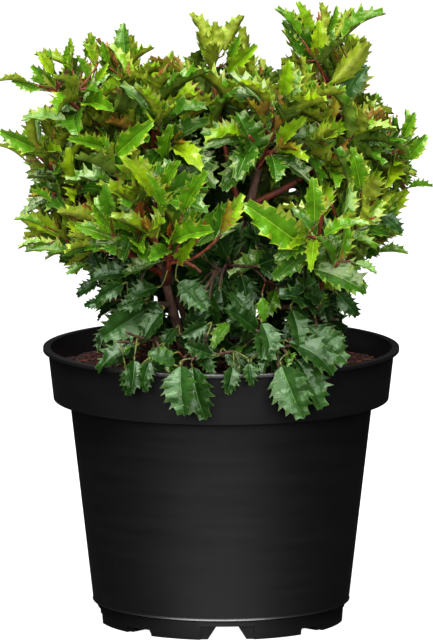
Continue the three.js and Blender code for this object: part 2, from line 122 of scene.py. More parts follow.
# Masses of foliage: the stem, how far up it the bough leaves (1 is its tip, with no bough), its age,
# and the shoots' tips (azimuth, reach, height), of which the first is the leader's
MASSES = {
    "front_upper": ("front_left", 1, "young", [(246, 92, 290), (219, 88, 303)]),
    "left_front": ("front_left", 0.9, "young", [(229, 105, 262), (212, 98, 250)]),
    "front_left": ("front_left", 0.8, "young", [(252, 104, 262), (262, 92, 240)]),
    "skirt_left": ("front_left", 0.6, "old", [(215, 92, 218), (228, 90, 207)]),
    "skirt_front_left": ("front_left", 0.35, "old", [(236, 100, 193), (248, 104, 190)]),
    "skirt_front": ("front_left", 0.2, "old", [(262, 112, 189), (274, 108, 192)]),
    "front_right": ("right", 1, "young", [(300, 109, 264), (310, 100, 284)]),
    "right_front": ("right", 0.86, "young", [(326, 106, 280), (334, 112, 262)]),
    "front_low_right": ("right", 0.72, "young", [(309, 104, 228), (323, 102, 233)]),
    "skirt_right": ("right", 0.5, "old", [(318, 96, 200), (306, 104, 192)]),
    "skirt_front_right": ("right", 0.3, "old", [(292, 112, 190), (283, 104, 204)]),
    "upper_right": ("centre", 1, "young", [(318, 60, 341), (290, 52, 322), (324, 72, 316)]),
    "heart": ("centre", 0.42, "old", [(274, 66, 246), (262, 90, 224), (298, 62, 256)]),
    "right_upper": ("centre", 0.8, "young", [(341, 90, 320), (355, 82, 338)]),
    "top": ("centre", 0.7, "young", [(108, 22, 361), (30, 28, 350)]),
    "back": ("centre", 0.5, "young", [(92, 104, 284), (78, 100, 256)]),
    "upper_left": ("back_left", 1, "young", [(186, 106, 346), (176, 86, 337)]),
    "upper_back_left": ("back_left", 0.86, "young", [(166, 68, 356), (148, 72, 338)]),
    "top_left": ("back_left", 0.78, "young", [(193, 44, 342), (215, 48, 328)]),
    "left": ("back_left", 0.7, "young", [(188, 118, 304), (196, 112, 282)]),
    "low_left": ("back_left", 0.5, "young", [(200, 106, 247), (188, 104, 256)]),
    "back_left": ("back_left", 0.62, "young", [(132, 110, 302), (155, 112, 286)]),
    "back_low_left": ("back_left", 0.36, "old", [(122, 104, 228), (150, 106, 244)]),
    "top_right": ("back_right", 1, "young", [(4, 65, 374), (14, 84, 362)]),
    "right": ("back_right", 0.8, "young", [(358, 117, 308), (0, 120, 278)]),
    "low_right": ("back_right", 0.5, "young", [(344, 100, 249), (4, 100, 246)]),
    "back_right": ("back_right", 0.66, "young", [(44, 110, 300), (26, 112, 288)]),
    "back_low_right": ("back_right", 0.36, "old", [(57, 104, 226), (32, 104, 240)]),
    "back_top": ("back_right", 0.88, "young", [(78, 68, 342), (112, 66, 340)]),
}

# Boughs and shoots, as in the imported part
SHOOT_SEED = 1000
CLEARANCE = 0.3
BOUGH_ROOT_SHARE = 0.78
BOUGH_TIP_RADIUS = 1.8
BOUGH_SHARE = 0.5
SHOOT_TIP_RADIUS = 0.9
TIP_SHOOT_SHARE = 0.85
SHOOT_ELBOW = {"out": 0.55, "rising": 0.3, "falling": -0.2, "arch": 4}
TIP_ELBOW_SHARE = 0.45
BRANCH_RADIUS_SHARE = 0.8
BRANCHING_SHARES = (0.1, 0.3)
SPUR = {"length": 25, "radius_share": 0.65, "places": (0.35, 0.65), "lengths": (0.8, 1.2), "spread": 3.4}
SPUR_RISE = {"young": 0.9, "old": 0.1}

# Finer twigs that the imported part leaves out, each ending behind its parent's tip
TWIG = {
    "places": (0.08, 0.26, 0.44, 0.62, 0.8), "jitter": 0.06, "lengths": (15, 31), "radius": 0.9,
    "lean": (32, 60), "apart": 10.5, "behind": 6, "tip_room": 16, "tries": 6, "turn": 61,
    "rise": {"young": 0.3, "old": -0.05}}
# What leans off a limb is turned round it from a side found with this direction, which no limb follows
SIDE_FINDER = (0.2, 0.1, 0.97)

# Limbs: the step between their rings, their sides, the depth of their bark, and where the first side looks
LIMBS = {"stem": (1.3, 20, 0.05), "bough": (1.4, 14, 0.045), "twig": (1.8, 8, 0.04)}
TUBE_SIDE = (0.31, 0.95, 0.05)
BARK_RIDGES = ((2, 0.05), (3, -0.09), (5, 0.17), (7, -0.3))
LEAF_SCAR = {"first": (3, 9), "apart": (8, 13), "width": 1.1, "ring": 1.4, "bud": 2.2}
BOUGH_COLLAR = {"rise": 0.35, "fall": 12}

# Leaves along a shoot, counted back from its tip
GOLDEN_ANGLE = 137.508
ROSETTE_STEPS = (0.3, 0.9, 1.6, 2.5, 3.7, 5.3, 7.4, 10.2)
LEAF_SPACING = 4.8
LEAFY_STRETCH = 78
BARE_SHARE = 0.3
LEAF_LEAN = {"first": 12, "step": 6.8, "most": 72}
LEAF_SIZES = (10, 14, 20, 26, 31, 34, 35, 35)
LEAF_SIZE_SPREAD = (0.82, 1.22)
SAG = {"young": 0.12, "old": 0.5}
SKY_PULL = 0.35
OUTWARD_PULL = 0.75
OUTWARD_RISE = {"least": 12, "share": 0.8}
PETIOLE_LENGTH = 3.2
PETIOLE_RADII = (0.845, 0.65, 0.52)
PETIOLE_ROOT = 0.4
PETIOLE_INTO_LEAF = 0.012
# A leaf that finds no room is turned round its shoot, and then made smaller
LEAF_ROLLS = (0, 24, -24, 48, -48, 74, -74, 104, -104)
LEAF_TRIES = [(scale, roll) for scale in (1, 0.84, 0.7) for roll in LEAF_ROLLS]

# Kinds of leaves by their place back from the tip and their depth in the crown, where 1 is its middle
TIP_PLACES = {"dark": 2, "bronze": 3, "new": 5, "some_new": 8, "mid": 11}
DEPTHS = {"dark": 0.62, "dark_tip": 0.4, "mid": 0.5, "pale": 0.3}
MIXED_SHARE = 0.4
BRONZE_SHARE = 0.85
OTHER_TINT_SHARE = 0.2
PALE_TOP = 235
DEPTH_FOOT = 240
DEPTH_FLATNESS = 0.9

# The crown's outline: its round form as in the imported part, and what the photograph's outline adds
CROWN_CENTRE_X = -2
CROWN_REACH = 130
CROWN_MIDDLE = 262
CROWN_HALF_HEIGHT = 141
CROWN_ROUNDNESS = 4
SKIRT_REACH = 78
SKIRT_SPREAD = 2.4
FRONT_SKIRT_REACH = 131
FRONT_SKIRT_WIDTH = 168
SKIRT_TOP = 252
HANG_DEPTH = 26
INSIDE_RIM = 102
RIM_GAP = 1.5
SOIL_GAP = 4
# The outline of the leaves' tips seen from the front: x and height
CROWN_TOPS = (
    (-143, 325), (-139, 354), (-115, 371), (-84, 382), (-62, 387), (-50, 370), (-28, 370), (-26, 362),
    (-18, 362), (-17, 393), (15, 392), (24, 364), (28, 355), (38, 352), (40, 398), (60, 404), (96, 400),
    (98, 345), (112, 329), (128, 318), (132, 290))
# Gaps through which the sky shows from the front: x from and to, and the height seen at the pot's axis
VIEW_SLOPE = 0.157
SKY_WINDOWS = ((121, 140, 262, 281), (-92, -73, 189, 194), (45, 49, 225, 230), (79, 92, 188, 204),
               (-88, -79, 205, 214), (-107, -97, 220, 229), (-136, -128, 273, 296), (-136, -120, 329, 341),
               (114, 128, 252, 268))
# Shaded hollows between the boughs at the front: middle and radius
HOLLOWS = (((55, -88, 303), 28), ((0, -98, 247), 25))

# Leaves that stand out at the front: kind, x, y and height of the foot, the way from there to the tip,
# and the side that faces the front where it isn't the upper
SHOWN_LEAVES = (
    ("new", -121, -23, 352, -20, -2, 3, "edge"), ("mid", -61, 18, 358, -2, 3, 26),
    ("new", -80, -1, 357, -4, 0, 24, "lower"), ("new", -5, 22, 364, -14, 0, 27, "lower"),
    ("new", 1, 22, 364, 12, -4, 26, "lower"), ("new", 52, -6, 378, -16, -2, 20),
    ("new", 75, -13, 379, 28, -2, 18, "edge"), ("mid", 64, 1, 360, -23, -6, 29),
    ("new", 69, -12, 348, 25, -5, 29, "lower"), ("old", 75, -5, 336, 17, 0, 25),
    ("new", 39, -45, 344, 4, -6, 25), ("wide", 22, -38, 298, -10, -12, 37),
    ("new", -69, -59, 309, 24, -8, 23), ("new", -72, -55, 314, -24, -12, 8),
    ("new", -35, -26, 300, 3, -10, 26), ("mid", -70, -92, 275, -4, -8, 22),
    ("new", -37, -95, 276, -9, -8, 28), ("new", -25, -105, 278, 15, -8, 29),
    ("new", 53, -94, 256, -36, -14, 29), ("new", 59, -99, 271, -1, -6, 30),
    ("new", 63, -92, 262, 22, -10, 12), ("new", 89, -71, 289, -6, -8, 28),
    ("mid", 40, -48, 240, -34, -12, -6), ("wide", 56, -88, 243, 35, -4, -14),
    ("mid", 36, -60, 227, -9, -12, -18), ("new", -124, -25, 302, -17, -2, 11, "edge"),
    ("new", 117, -14, 283, 18, -2, 2, "edge"), ("new", 117, -8, 308, 2, 0, 24),
    ("new", 98, -24, 243, 21, -2, 0, "edge"), ("old", 99, -57, 274, 16, -4, -12),
    ("new", -106, -17, 355, -11, -2, 16), ("new", -98, -11, 357, -1, -2, 17),
    ("new", -3, 19, 362, -1, -2, 24, "lower"), ("new", 58, -1, 379, -9, -2, 22),
    ("new", 65, 0, 377, -1, -2, 24, "lower"), ("new", 72, -8, 377, 12, -2, 21, "lower"),
    ("new", -109, -45, 252, -20, -2, -2, "edge"), ("new", -96, -35, 247, -16, -2, -6),
    ("mid", 82, -90, 247, 16, -2, -7), ("old", -76, -49, 229, -16, -2, -10),
    ("mid", -70, -50, 217, -10, -2, -6, "edge"), ("old", 72, -88, 228, 15, -2, -16),
    ("new", -84, -12, 350, -8, -2, 18), ("new", -82, -18, 350, 9, -2, 14),
    ("new", -79, -10, 363, -9, -2, 14), ("new", -116, -24, 309, -25, -4, 12),
    ("new", -106, -40, 276, -15, -4, 10), ("new", 118, -20, 300, 13, -4, 18),
    ("new", 2, 10, 352, 20, -4, 20), ("new", -112, -42, 262, -19, -4, 6), ("new", -94, -44, 245, -30, -2, 3),
    ("new", -96, -25, 327, -30, -3, 3), ("new", 84, -50, 234, 9, -4, -8), ("old", 65, -66, 217, 3, -6, -13),
    ("old", -46, -82, 222, -19, -6, -5), ("mid", -84, -52, 241, -14, -4, -7),
    ("old", -38, -76, 229, -22, -8, -7), ("old", -60, -78, 232, -19, -6, -10),
    ("old", -6, -98, 209, -18, -4, -8), ("old", -21, -100, 193, 17, -4, -4),
    ("new", -104, -15, 352, -6, -2, 20), ("new", -95, -12, 355, 0, -2, 18), ("new", 3, 16, 359, 9, -2, 18),
    ("new", 49, -5, 365, -9, -2, 19), ("new", 67, -4, 380, 7, -2, 19), ("new", 115, -12, 313, 9, -2, 18),
    ("new", -113, -20, 347, -20, -2, 7), ("old", -73, -70, 218, -14, -2, -2),
    ("old", -27, -76, 204, -11, -8, -14), ("pale", -26, -110, 186, 2, -14, -31),
    ("old", -19, -110, 185, 8, -14, -33), ("pale", 37, -110, 186, 14, -11, -33),
    ("pale", 44, -100, 186, 20, -9, -29), ("pale", -29, -86, 235, 19, -10, -17),
    ("old", 8, -112, 186, -4, -8, -18), ("old", 17, -112, 188, 2, -7, -15),
    ("old", -61, -95, 181, 2, -10, -17), ("old", -50, -100, 183, 2, -10, -16),
    ("old", -52, -84, 193, -27, -8, -15), ("mid", -27, -98, 190, -18, -6, -4),
    ("pale", -45, -72, 215, -30, -6, -18), ("old", -36, -80, 216, -14, -8, -20),
    ("pale", 49, -88, 205, 29, -8, -21), ("pale", 44, -92, 219, 6, -10, -23),
    ("pale", 25, -96, 211, 7, -10, -24), ("old", 40, -98, 198, 32, -6, -19),
    ("mid", 26, -84, 226, 1, -6, -17), ("old", -57, -70, 236, -26, -4, -2),
    ("new", -96, -12, 361, -22, -4, 9), ("new", -97, -8, 363, 0, -2, 16), ("new", -88, -8, 364, 7, -2, 16),
    ("new", -72, -4, 360, -4, -2, 16), ("pale", -27, -108, 182, -18, -4, 9),
    ("old", -3, -104, 188, -19, -4, 8), ("old", -45, -104, 188, -5, -8, -17),
    ("old", -55, -96, 187, -2, -12, -21), ("old", 12, -108, 183, -8, -11, -16),
    ("old", 19, -104, 187, 0, -13, -15), ("pale", 26, -96, 207, 0, -12, -19),
    ("old", 1, -96, 192, 13, -8, -12), ("old", -16, -100, 191, 11, -8, -13),
    ("old", 31, -100, 191, -5, -10, -13), ("old", 46, -100, 188, 9, -10, -15),
    ("old", -36, -92, 195, -8, -8, -13), ("mid", 7, -80, 208, -12, -10, -16),
)
SHOWN_LANE = 2.6
SHOWN_ROLL = 30
SHOWN_TURN = 0.003
SHOWN_STRETCH = 1.08
SHOWN_TWIG = {"radius": 0.5, "step": 2, "sides": 6, "places": 16}
LIME_HEIGHT = 330
SHOWN_STYLES = {
    "new": ("new", "new"), "mid": ("mature", "mid"), "wide": ("broad", "mid"),
    "old": ("old", "old"), "pale": ("broad", "old")}
FACINGS = {"upper": (0, -1, 0.6), "lower": (0, 1, 0.1), "edge": (0, -0.3, 1)}
# Leaves deep in the crown's foot, where the photograph shows hardly any sky
HEART_LEAVES = {
    "tries": 160, "stem_points": 60, "low": (-50, 4, 186), "high": (46, 60, 240),
    "lengths": (24, 32), "apart": 13, "way_low": (-1, -0.5, -0.5), "way_high": (1, 0.1, 0.9)}

# Stems that show between the leaves from the front: from and to shares, and half the lane's width
LANES = (("front_left", 0.1, 0.95, 5), ("right", 0.35, 0.55, 3), ("centre", 0.8, 0.93, 4))
LANE_STEPS = 24
LANE_LEVEL = 4
LANE_DEPTH = 2

# The space that leaves keep from each other is held on a grid
GRID_STEP = 1.5
GRID_LOW = np.array((-160.0, -160.0, 140.0))
GRID_SIZE = (214, 214, 182)

# Leaf shapes: spines on a side, then sizes as shares of the length, and angles in degrees
LEAF_STYLES = {
    "bud": {"spines": 4, "width": 0.46, "fold": (34, 52), "bend": (-6, 30), "ripple": 0.03, "twist": 10},
    "new": {"spines": 5, "width": 0.52, "fold": (30, 52), "bend": (16, 56), "ripple": 0.036, "twist": 16},
    "mature": {"spines": 5, "width": 0.56, "fold": (20, 42), "bend": (24, 66), "ripple": 0.04, "twist": 18},
    "old": {"spines": 5, "width": 0.58, "fold": (8, 28), "bend": (26, 66), "ripple": 0.036, "twist": 20},
    "broad": {"spines": 6, "width": 0.68, "fold": (8, 24), "bend": (30, 52), "ripple": 0.04, "twist": 14},
}
LEAF_VARIANTS = 9
LEAF_ENDS = (0.012, 0.988)
LEAF_FULLNESS = (0.82, 0.85)
LEAF_FOOT_WIDTH = 0.014
LEAF_TIP_WIDTH = 0.004
LEAF_ARCH = (0.35, 1.3)
LEAF_FOOT_ROWS = ((0.0, 1.0, 0.0, 0.0), (0.07, 1.0, 0.0, 0.4))
LEAF_TIP_ROWS = ((0.95, 0.9, 0.0, 0.5), (1.0, 1.0, 0.0, 0.8))
FIRST_SPINE = 0.14
LAST_SPINE = 0.9
SPINE_LEAD = 0.055
SPINE_PROFILE = ((0.16, 0.8), (0.68, 0.92), (1.0, 1.4))
SPINE_STRENGTH = (0.45, 1.1)
SPINE_REACH = 0.24
SPINE_RISE = 0.02
RIPPLE_LAG = 0.9
FLAT_WIDTH = 0.12
LEAF_THICKNESS = 0.013
THIN_WIDTH = 0.06
MARGIN_WIDTH = 0.013
MARGIN_LIMIT = 0.6
# Shares of the edge's wave, rise and lead that the line inside the margin keeps
INSIDE = {"wave": 0.9, "rise": 0.6, "lead": 0.8}
RIB_DEPTH = 0.006
RIB_WIDTH = 0.011
RIB_TAPER = 0.75
RIB_LIMIT = 0.5
RIB_THICKENING = 1.7
VEIN_DEPTH = 0.014
VEIN_PLACE = 0.46
SAMPLES_FROM = 0.34

# A leaf piece's material slots: three tints of the upper side, the margin and the underside
UPPER_SLOTS = 3
GREEN_TINT = 1
PALE_TINT = 2
MARGIN_SLOT = 3
UNDER_SLOT = 4
LEAF_PIECES = ("bronze", "new_front", "new_back", "mid_front", "mid_back", "old_front", "old_back")

# Colours by their 8-bit display values: three tints, margin and underside of each kind of leaf
LEAF_COLOURS = {
    "bronze": ((96, 72, 10), (92, 46, 14), (88, 84, 8), (108, 60, 20), (92, 68, 16)),
    "new": ((74, 103, 3), (50, 86, 4), (88, 110, 5), (92, 117, 17), (92, 103, 14)),
    "mid": ((33, 67, 4), (41, 76, 5), (26, 56, 4), (58, 90, 20), (64, 83, 16)),
    "old": ((7, 24, 3), (12, 33, 4), (23, 47, 12), (36, 62, 18), (29, 46, 12)),
}
LEAF_MOTTLE = (0.68, 1.3)
LEAF_ROUGHNESS = {"bronze": 0.32, "new": 0.27, "mid": 0.26, "old": 0.31}
LEAF_SHEEN = (0.9, 1, 0.6, 1)
OLD_SHEEN = (0.42, 0.56, 0.38, 1)
MARGIN_ROUGHNESS = 0.45
UNDER_ROUGHNESS = 0.55
# Bark: dark and light colour, and roughness
BARKS = {
    "old_bark": ((46, 32, 26), (88, 64, 52), 0.85), "young_bark": ((44, 15, 8), (98, 41, 20), 0.6),
    "dull_bark": ((30, 22, 14), (66, 46, 32), 0.75), "petiole": ((40, 48, 14), (76, 78, 26), 0.5),
    "soil_crumb": ((24, 11, 8), (54, 25, 18), 0.95), "bark_chip": ((44, 19, 14), (94, 45, 33), 0.9),
    "coir_fibre": ((74, 34, 25), (114, 60, 44), 0.9)}

# The soil's surface, its lumps by width, layer of noise and height, and its loose bits by share and size
SOIL_SINK = 1.2
SOIL_EDGE_DROP = 3
SOIL_FLAT_REACH = 74
SOIL_REACH = 108.6
SOIL_RINGS = 60
SOIL_SPOKES = 160
SOIL_LUMPS = ((9, 0, 1.5), (3.2, 4, 0.9), (1.3, 8, 0.5))
BIT_COUNT = 1500
SOIL_BITS = {
    "soil_crumb": (0.55, (1.0, 0.9, 0.7)), "bark_chip": (0.25, (2.1, 1.1, 0.5)),
    "coir_fibre": (0.2, (3.2, 0.4, 0.35))}
BIT_SCALES = (0.6, 1.5)
BIT_LUMPS = 0.22
BIT_TILT = 0.5
BIT_LIFT = 0.35
BIT_OFF_WALL = 4

# The studio, in metres. Lamps: place, target, width and height, and power
FLOOR_REACH = 20
FLOOR_CELLS = 12
FLOOR_DROP = 0.0002
LAMPS = {
    "front_softbox": ((-0.1, -3.4, 1.35), (0, 0, 0.22), (5, 1.6), 285),
    "overhead": ((-0.15, -0.8, 2.2), (0, 0, 0.3), (2.4, 2), 300)}
WORLD_LIGHT = 0.006
WHITE = (1, 1, 1, 1)


class Curve:
    """A quadratic Bezier curve through space."""

    def __init__(self, start, elbow, end):
        self.start = np.array(start, float)
        self.elbow = np.array(elbow, float)
        self.end = np.array(end, float)

    def point(self, t):
        return (1 - t) ** 2 * self.start + 2 * t * (1 - t) * self.elbow + t * t * self.end

    def heading(self, t):
        return unit(2 * (1 - t) * (self.elbow - self.start) + 2 * t * (self.end - self.elbow))

    def length(self):
        points = np.array([self.point(t) for t in np.linspace(0, 1, CURVE_POINTS)])
        return float(np.linalg.norm(np.diff(points, axis=0), axis=1).sum())


def unit(vector):
    return vector / np.linalg.norm(vector)


def lerp(low, high, share):
    return low + (high - low) * share


def polar(azimuth, reach, height):
    angle = math.radians(azimuth)
    return np.array((reach * math.cos(angle), reach * math.sin(angle), height))


def seeded_random(seed):
    """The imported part's random numbers from 0 to 1, so that its shoots come out the same here."""
    whole = 0xFFFFFFFF
    state = seed

    def draw():
        nonlocal state
        state = (state + 0x6D2B79F5) & whole
        mixed = (state ^ (state >> 15)) * (state | 1) & whole
        mixed ^= (mixed + ((mixed ^ (mixed >> 7)) * (mixed | 61) & whole)) & whole
        return ((mixed ^ (mixed >> 14)) & whole) / (whole + 1)

    return draw


# Materials

def srgb(colour):
    """A linear colour from its 8-bit display values."""
    def linear(value):
        value /= 255
        return value / 12.92 if value <= 0.04045 else ((value + 0.055) / 1.055) ** 2.4
    return (*map(linear, colour), 1)


class Look:
    """A material in the making. A setting is a value, or the output of another node."""

    def __init__(self, name, **settings):
        self.material = bpy.data.materials.new(name)
        self.material.use_nodes = True
        self.tree = self.material.node_tree
        self.shader = self.tree.nodes["Principled BSDF"]
        self.set(self.shader, settings)

    def set(self, node, settings):
        for name, value in settings.items():
            socket = node.inputs[name.replace("_", " ")]
            if isinstance(value, bpy.types.NodeSocket):
                self.tree.links.new(value, socket)
            else:
                socket.default_value = value

    def node(self, kind, **settings):
        node = self.tree.nodes.new(f"ShaderNode{kind}")
        self.set(node, settings)
        return node

    def noise(self, scale, detail, stretch=(1, 1, 1)):
        """A pattern in the object's own space, with scale in features per metre."""
        place = self.node("TexCoord").outputs["Object"]
        mapped = self.node("Mapping", Vector=place, Scale=stretch).outputs["Vector"]
        return self.node("TexNoise", Vector=mapped, Scale=scale, Detail=detail).outputs["Fac"]

    def colour(self, pattern, *stops):
        """Colours the surface by a pattern, through stops of place and colour."""
        ramp = self.node("ValToRGB", Fac=pattern)
        elements = ramp.color_ramp.elements
        while len(elements) < len(stops):
            elements.new(0.5)
        for element, (place, colour) in zip(elements, stops):
            element.position = place
            element.color = colour
        self.set(self.shader, {"Base Color": ramp.outputs["Color"]})

    def bump(self, pattern, depth):
        """Raises the surface by a pattern, with the depth in millimetres."""
        bump = self.node("Bump", Height=pattern, Distance=depth * MM)
        self.set(self.shader, {"Normal": bump.outputs["Normal"]})


def leaf_material(name, colour, roughness, sheen, veined=True):
    """A leaf's colour with a soft mottle, its gloss, and the fine wrinkles of its surface."""
    look = Look(name, Roughness=roughness, Specular_Tint=sheen)
    dark, light = (tuple(channel * factor for channel in srgb(colour)[:3]) + (1,) for factor in LEAF_MOTTLE)
    look.colour(look.noise(150, 4), (0.3, dark), (0.7, light))
    if veined:
        look.bump(look.noise(210, 4), 0.9)
    return look.material


def leaf_materials(kind):
    """The three tints, margin and underside of a kind of leaf."""
    *tints, margin, under = LEAF_COLOURS[kind]
    sheen = OLD_SHEEN if kind == "old" else LEAF_SHEEN
    return [leaf_material(f"{kind}_leaf_{number}", tint, LEAF_ROUGHNESS[kind], sheen)
            for number, tint in enumerate(tints)] + [
        leaf_material(f"{kind}_margin", margin, MARGIN_ROUGHNESS, sheen, veined=False),
        leaf_material(f"{kind}_underside", under, UNDER_ROUGHNESS, sheen)]


def bark_material(name):
    dark, light, roughness = BARKS[name]
    look = Look(name, Roughness=roughness, Specular_IOR_Level=0.2)
    streaks = look.noise(420, 5, (1, 1, 0.3))
    look.colour(streaks, (0.32, srgb(dark)), (0.68, srgb(light)))
    look.bump(streaks, 0.5)
    return look.material


def plastic_material():
    look = Look("pot_plastic", Specular_IOR_Level=0.95)
    smudge = look.noise(60, 6, (0.3, 0.3, 3))
    look.colour(smudge, (0.3, (0.0005, 0.0005, 0.0006, 1)), (0.75, (0.0013, 0.0013, 0.0014, 1)))
    spread = look.node("MapRange", Value=smudge, To_Min=0.34, To_Max=0.375)
    look.set(look.shader, {"Roughness": spread.outputs["Result"]})
    look.bump(look.noise(2600, 1), 0.06)
    return look.material


def soil_material():
    look = Look("potting_soil", Roughness=0.92, Specular_IOR_Level=0.25)
    crumbs = look.noise(330, 8)
    look.colour(crumbs, (0.3, srgb((16, 7, 5))), (0.55, srgb((38, 17, 13))), (0.78, srgb((74, 36, 26))))
    look.bump(crumbs, 2.2)
    return look.material


def floor_material():
    look = Look("studio_floor", Roughness=0.9, Specular_IOR_Level=0.1, Emission_Color=WHITE,
                Emission_Strength=1.0)
    look.colour(look.noise(2, 2), (0.3, (0.14, 0.14, 0.14, 1)), (0.7, (0.16, 0.16, 0.16, 1)))
    return look.material


# Meshes

class Heap:
    """Gathers many small meshes into the one mesh of a piece. A face's fourth corner is -1 on a triangle."""

    def __init__(self):
        self.points = []
        self.faces = []
        self.slots = []
        self.sharp = []
        self.count = 0

    def add(self, points, faces, slots, sharp=None):
        moved = np.where(faces < 0, -1, faces + self.count)
        self.points.append(points)
        self.faces.append(moved)
        self.slots.append(np.broadcast_to(slots, len(faces)))
        self.sharp.append(np.zeros(len(points), bool) if sharp is None else sharp)
        self.count += len(points)

    def piece(self, name, materials):
        points = np.concatenate(self.points) * MM
        faces = np.concatenate(self.faces)
        sharp = np.concatenate(self.sharp)
        totals = np.where(faces[:, 3] < 0, 3, 4)
        corners = faces[faces >= 0]
        mesh = bpy.data.meshes.new(name)
        mesh.vertices.add(len(points))
        mesh.loops.add(len(corners))
        mesh.polygons.add(len(faces))
        mesh.vertices.foreach_set("co", points.astype(np.float32).ravel())
        mesh.loops.foreach_set("vertex_index", corners.astype(np.int32))
        settings = {"loop_start": np.cumsum(totals) - totals, "loop_total": totals,
                    "material_index": np.concatenate(self.slots)}
        for field, values in settings.items():
            mesh.polygons.foreach_set(field, values.astype(np.int32))
        mesh.polygons.foreach_set("use_smooth", np.ones(len(faces), bool))
        mesh.update(calc_edges=True)
        ends = np.empty(len(mesh.edges) * 2, np.int32)
        mesh.edges.foreach_get("vertices", ends)
        ends = ends.reshape(-1, 2)
        creased = mesh.attributes.new("sharp_edge", "BOOLEAN", "EDGE")
        creased.data.foreach_set("value", sharp[ends[:, 0]] & sharp[ends[:, 1]])
        for material in materials:
            mesh.materials.append(material)
        return add_object(name, mesh)


def add_object(name, mesh):
    created = bpy.data.objects.new(name, mesh)
    bpy.context.scene.collection.objects.link(created)
    return created


def circle(count):
    """The angles of points round a ring."""
    return np.arange(count) * 2 * math.pi / count


def fan(tip, ring):
    """Triangles that join a tip to each side of a ring, wound against the ring's order."""
    return np.stack((np.full(len(ring), tip), np.roll(ring, -1), ring, np.full(len(ring), -1)), axis=1)


def closed_faces(rings, sides):
    """Walls between rings of points, and a fan at either end to the two points that follow the rings."""
    side = np.arange(sides)
    starts = np.arange(rings - 1)[:, None] * sides
    low = (starts + side).ravel()
    turn = (starts + (side + 1) % sides).ravel()
    walls = np.stack((low, turn, turn + sides, low + sides), axis=1)
    last = (rings - 1) * sides + side
    return np.concatenate((walls, fan(rings * sides, side), fan(rings * sides + 1, last[::-1])))


def tube(points, radii, sides, relief=None):
    """A closed limb round a row of points. Relief gives a radius factor for each ring and side."""
    along = np.gradient(points, axis=0)
    along /= np.linalg.norm(along, axis=1, keepdims=True)
    angles = circle(sides)
    across = np.array(TUBE_SIDE)
    rings = []
    for ring, axis in enumerate(along):
        across = unit(across - axis * across.dot(axis))
        round_axis = np.outer(np.cos(angles), across) + np.outer(np.sin(angles), np.cross(axis, across))
        factor = radii[ring] if relief is None else radii[ring] * relief[ring][:, None]
        rings.append(points[ring] + round_axis * factor)
    return np.concatenate(rings + [points[:1], points[-1:]]), closed_faces(len(points), sides)


def curve_points(curve, t0, t1, step):
    count = max(3, int(curve.length() * (t1 - t0) / step) + 1)
    shares = np.linspace(0, 1, count)
    return shares, np.array([curve.point(lerp(t0, t1, share)) for share in shares])


def barked_tube(points, radii, kind, rng):
    """A limb with ridges that run along it, and a low ring where each old leaf grew."""
    _, sides, depth = LIMBS[kind]
    run = np.concatenate(([0], np.cumsum(np.linalg.norm(np.diff(points, axis=0), axis=1))))[:, None]
    angle = circle(sides)[None, :]
    relief = np.ones((len(points), sides))
    for waves, slope in BARK_RIDGES:
        relief += depth * 0.5 * np.sin(waves * angle + slope * run + rng.uniform(0, 2 * math.pi))
    start = rng.uniform(*LEAF_SCAR["first"])
    while start < run[-1, 0]:
        turn = rng.uniform(0, 2 * math.pi)
        ring = np.exp(-((run - start) / LEAF_SCAR["width"]) ** 2)
        bud = np.clip(np.cos(angle - turn), 0, 1) ** 3
        relief += ring * depth * (LEAF_SCAR["ring"] + LEAF_SCAR["bud"] * bud)
        start += rng.uniform(*LEAF_SCAR["apart"])
    return tube(points, radii, sides, relief)


# Growth

# A shoot: its curve, the share of it at which the shoot starts, its radius there and its age
Shoot = namedtuple("Shoot", "curve first radius age")


def stem_curve(stem):
    start = polar(*stem["foot"], SOIL_HEIGHT - STEM_SINK)
    end = polar(*stem["top"])
    elbow = lerp(start, end, STEM_ELBOW[0])
    elbow[2] = lerp(start[2], end[2], STEM_ELBOW[1])
    return Curve(start, elbow, end)


def shoot_curve(start, end):
    rise = end[2] - start[2]
    elbow = lerp(start, end, SHOOT_ELBOW["out"])
    bend = SHOOT_ELBOW["rising"] * rise if rise > 0 else SHOOT_ELBOW["arch"] + SHOOT_ELBOW["falling"] * rise
    elbow[2] = start[2] + bend
    return Curve(start, elbow, end)


def tip_curve(stem, end):
    path = stem_curve(stem)
    heading = path.heading(1)
    start = path.point(1) + heading * CLEARANCE
    elbow = start + heading * TIP_ELBOW_SHARE * np.linalg.norm(end - start)
    return Curve(start, elbow, end)


def lean_off(axis, lean, turn):
    """The direction that leans off an axis at a turn round it, both in degrees, and the side it leans to."""
    across = unit(np.cross(SIDE_FINDER, axis))
    other = np.cross(axis, across)
    lean = math.radians(lean)
    turn = math.radians(turn)
    spread = across * math.cos(turn) + other * math.sin(turn)
    return axis * math.cos(lean) + spread * math.sin(lean), spread


def grow_spur(leader, draw):
    start = leader.curve.point(lerp(leader.first, 1, lerp(*SPUR["places"], draw())))
    outward = math.atan2(start[1], start[0]) + (draw() - 0.5) * SPUR["spread"]
    direction = unit(np.array((math.cos(outward), math.sin(outward), SPUR_RISE[leader.age])))
    end = start + direction * SPUR["length"] * lerp(*SPUR["lengths"], draw())
    return Shoot(shoot_curve(start, end), 0, leader.radius * SPUR["radius_share"], leader.age)


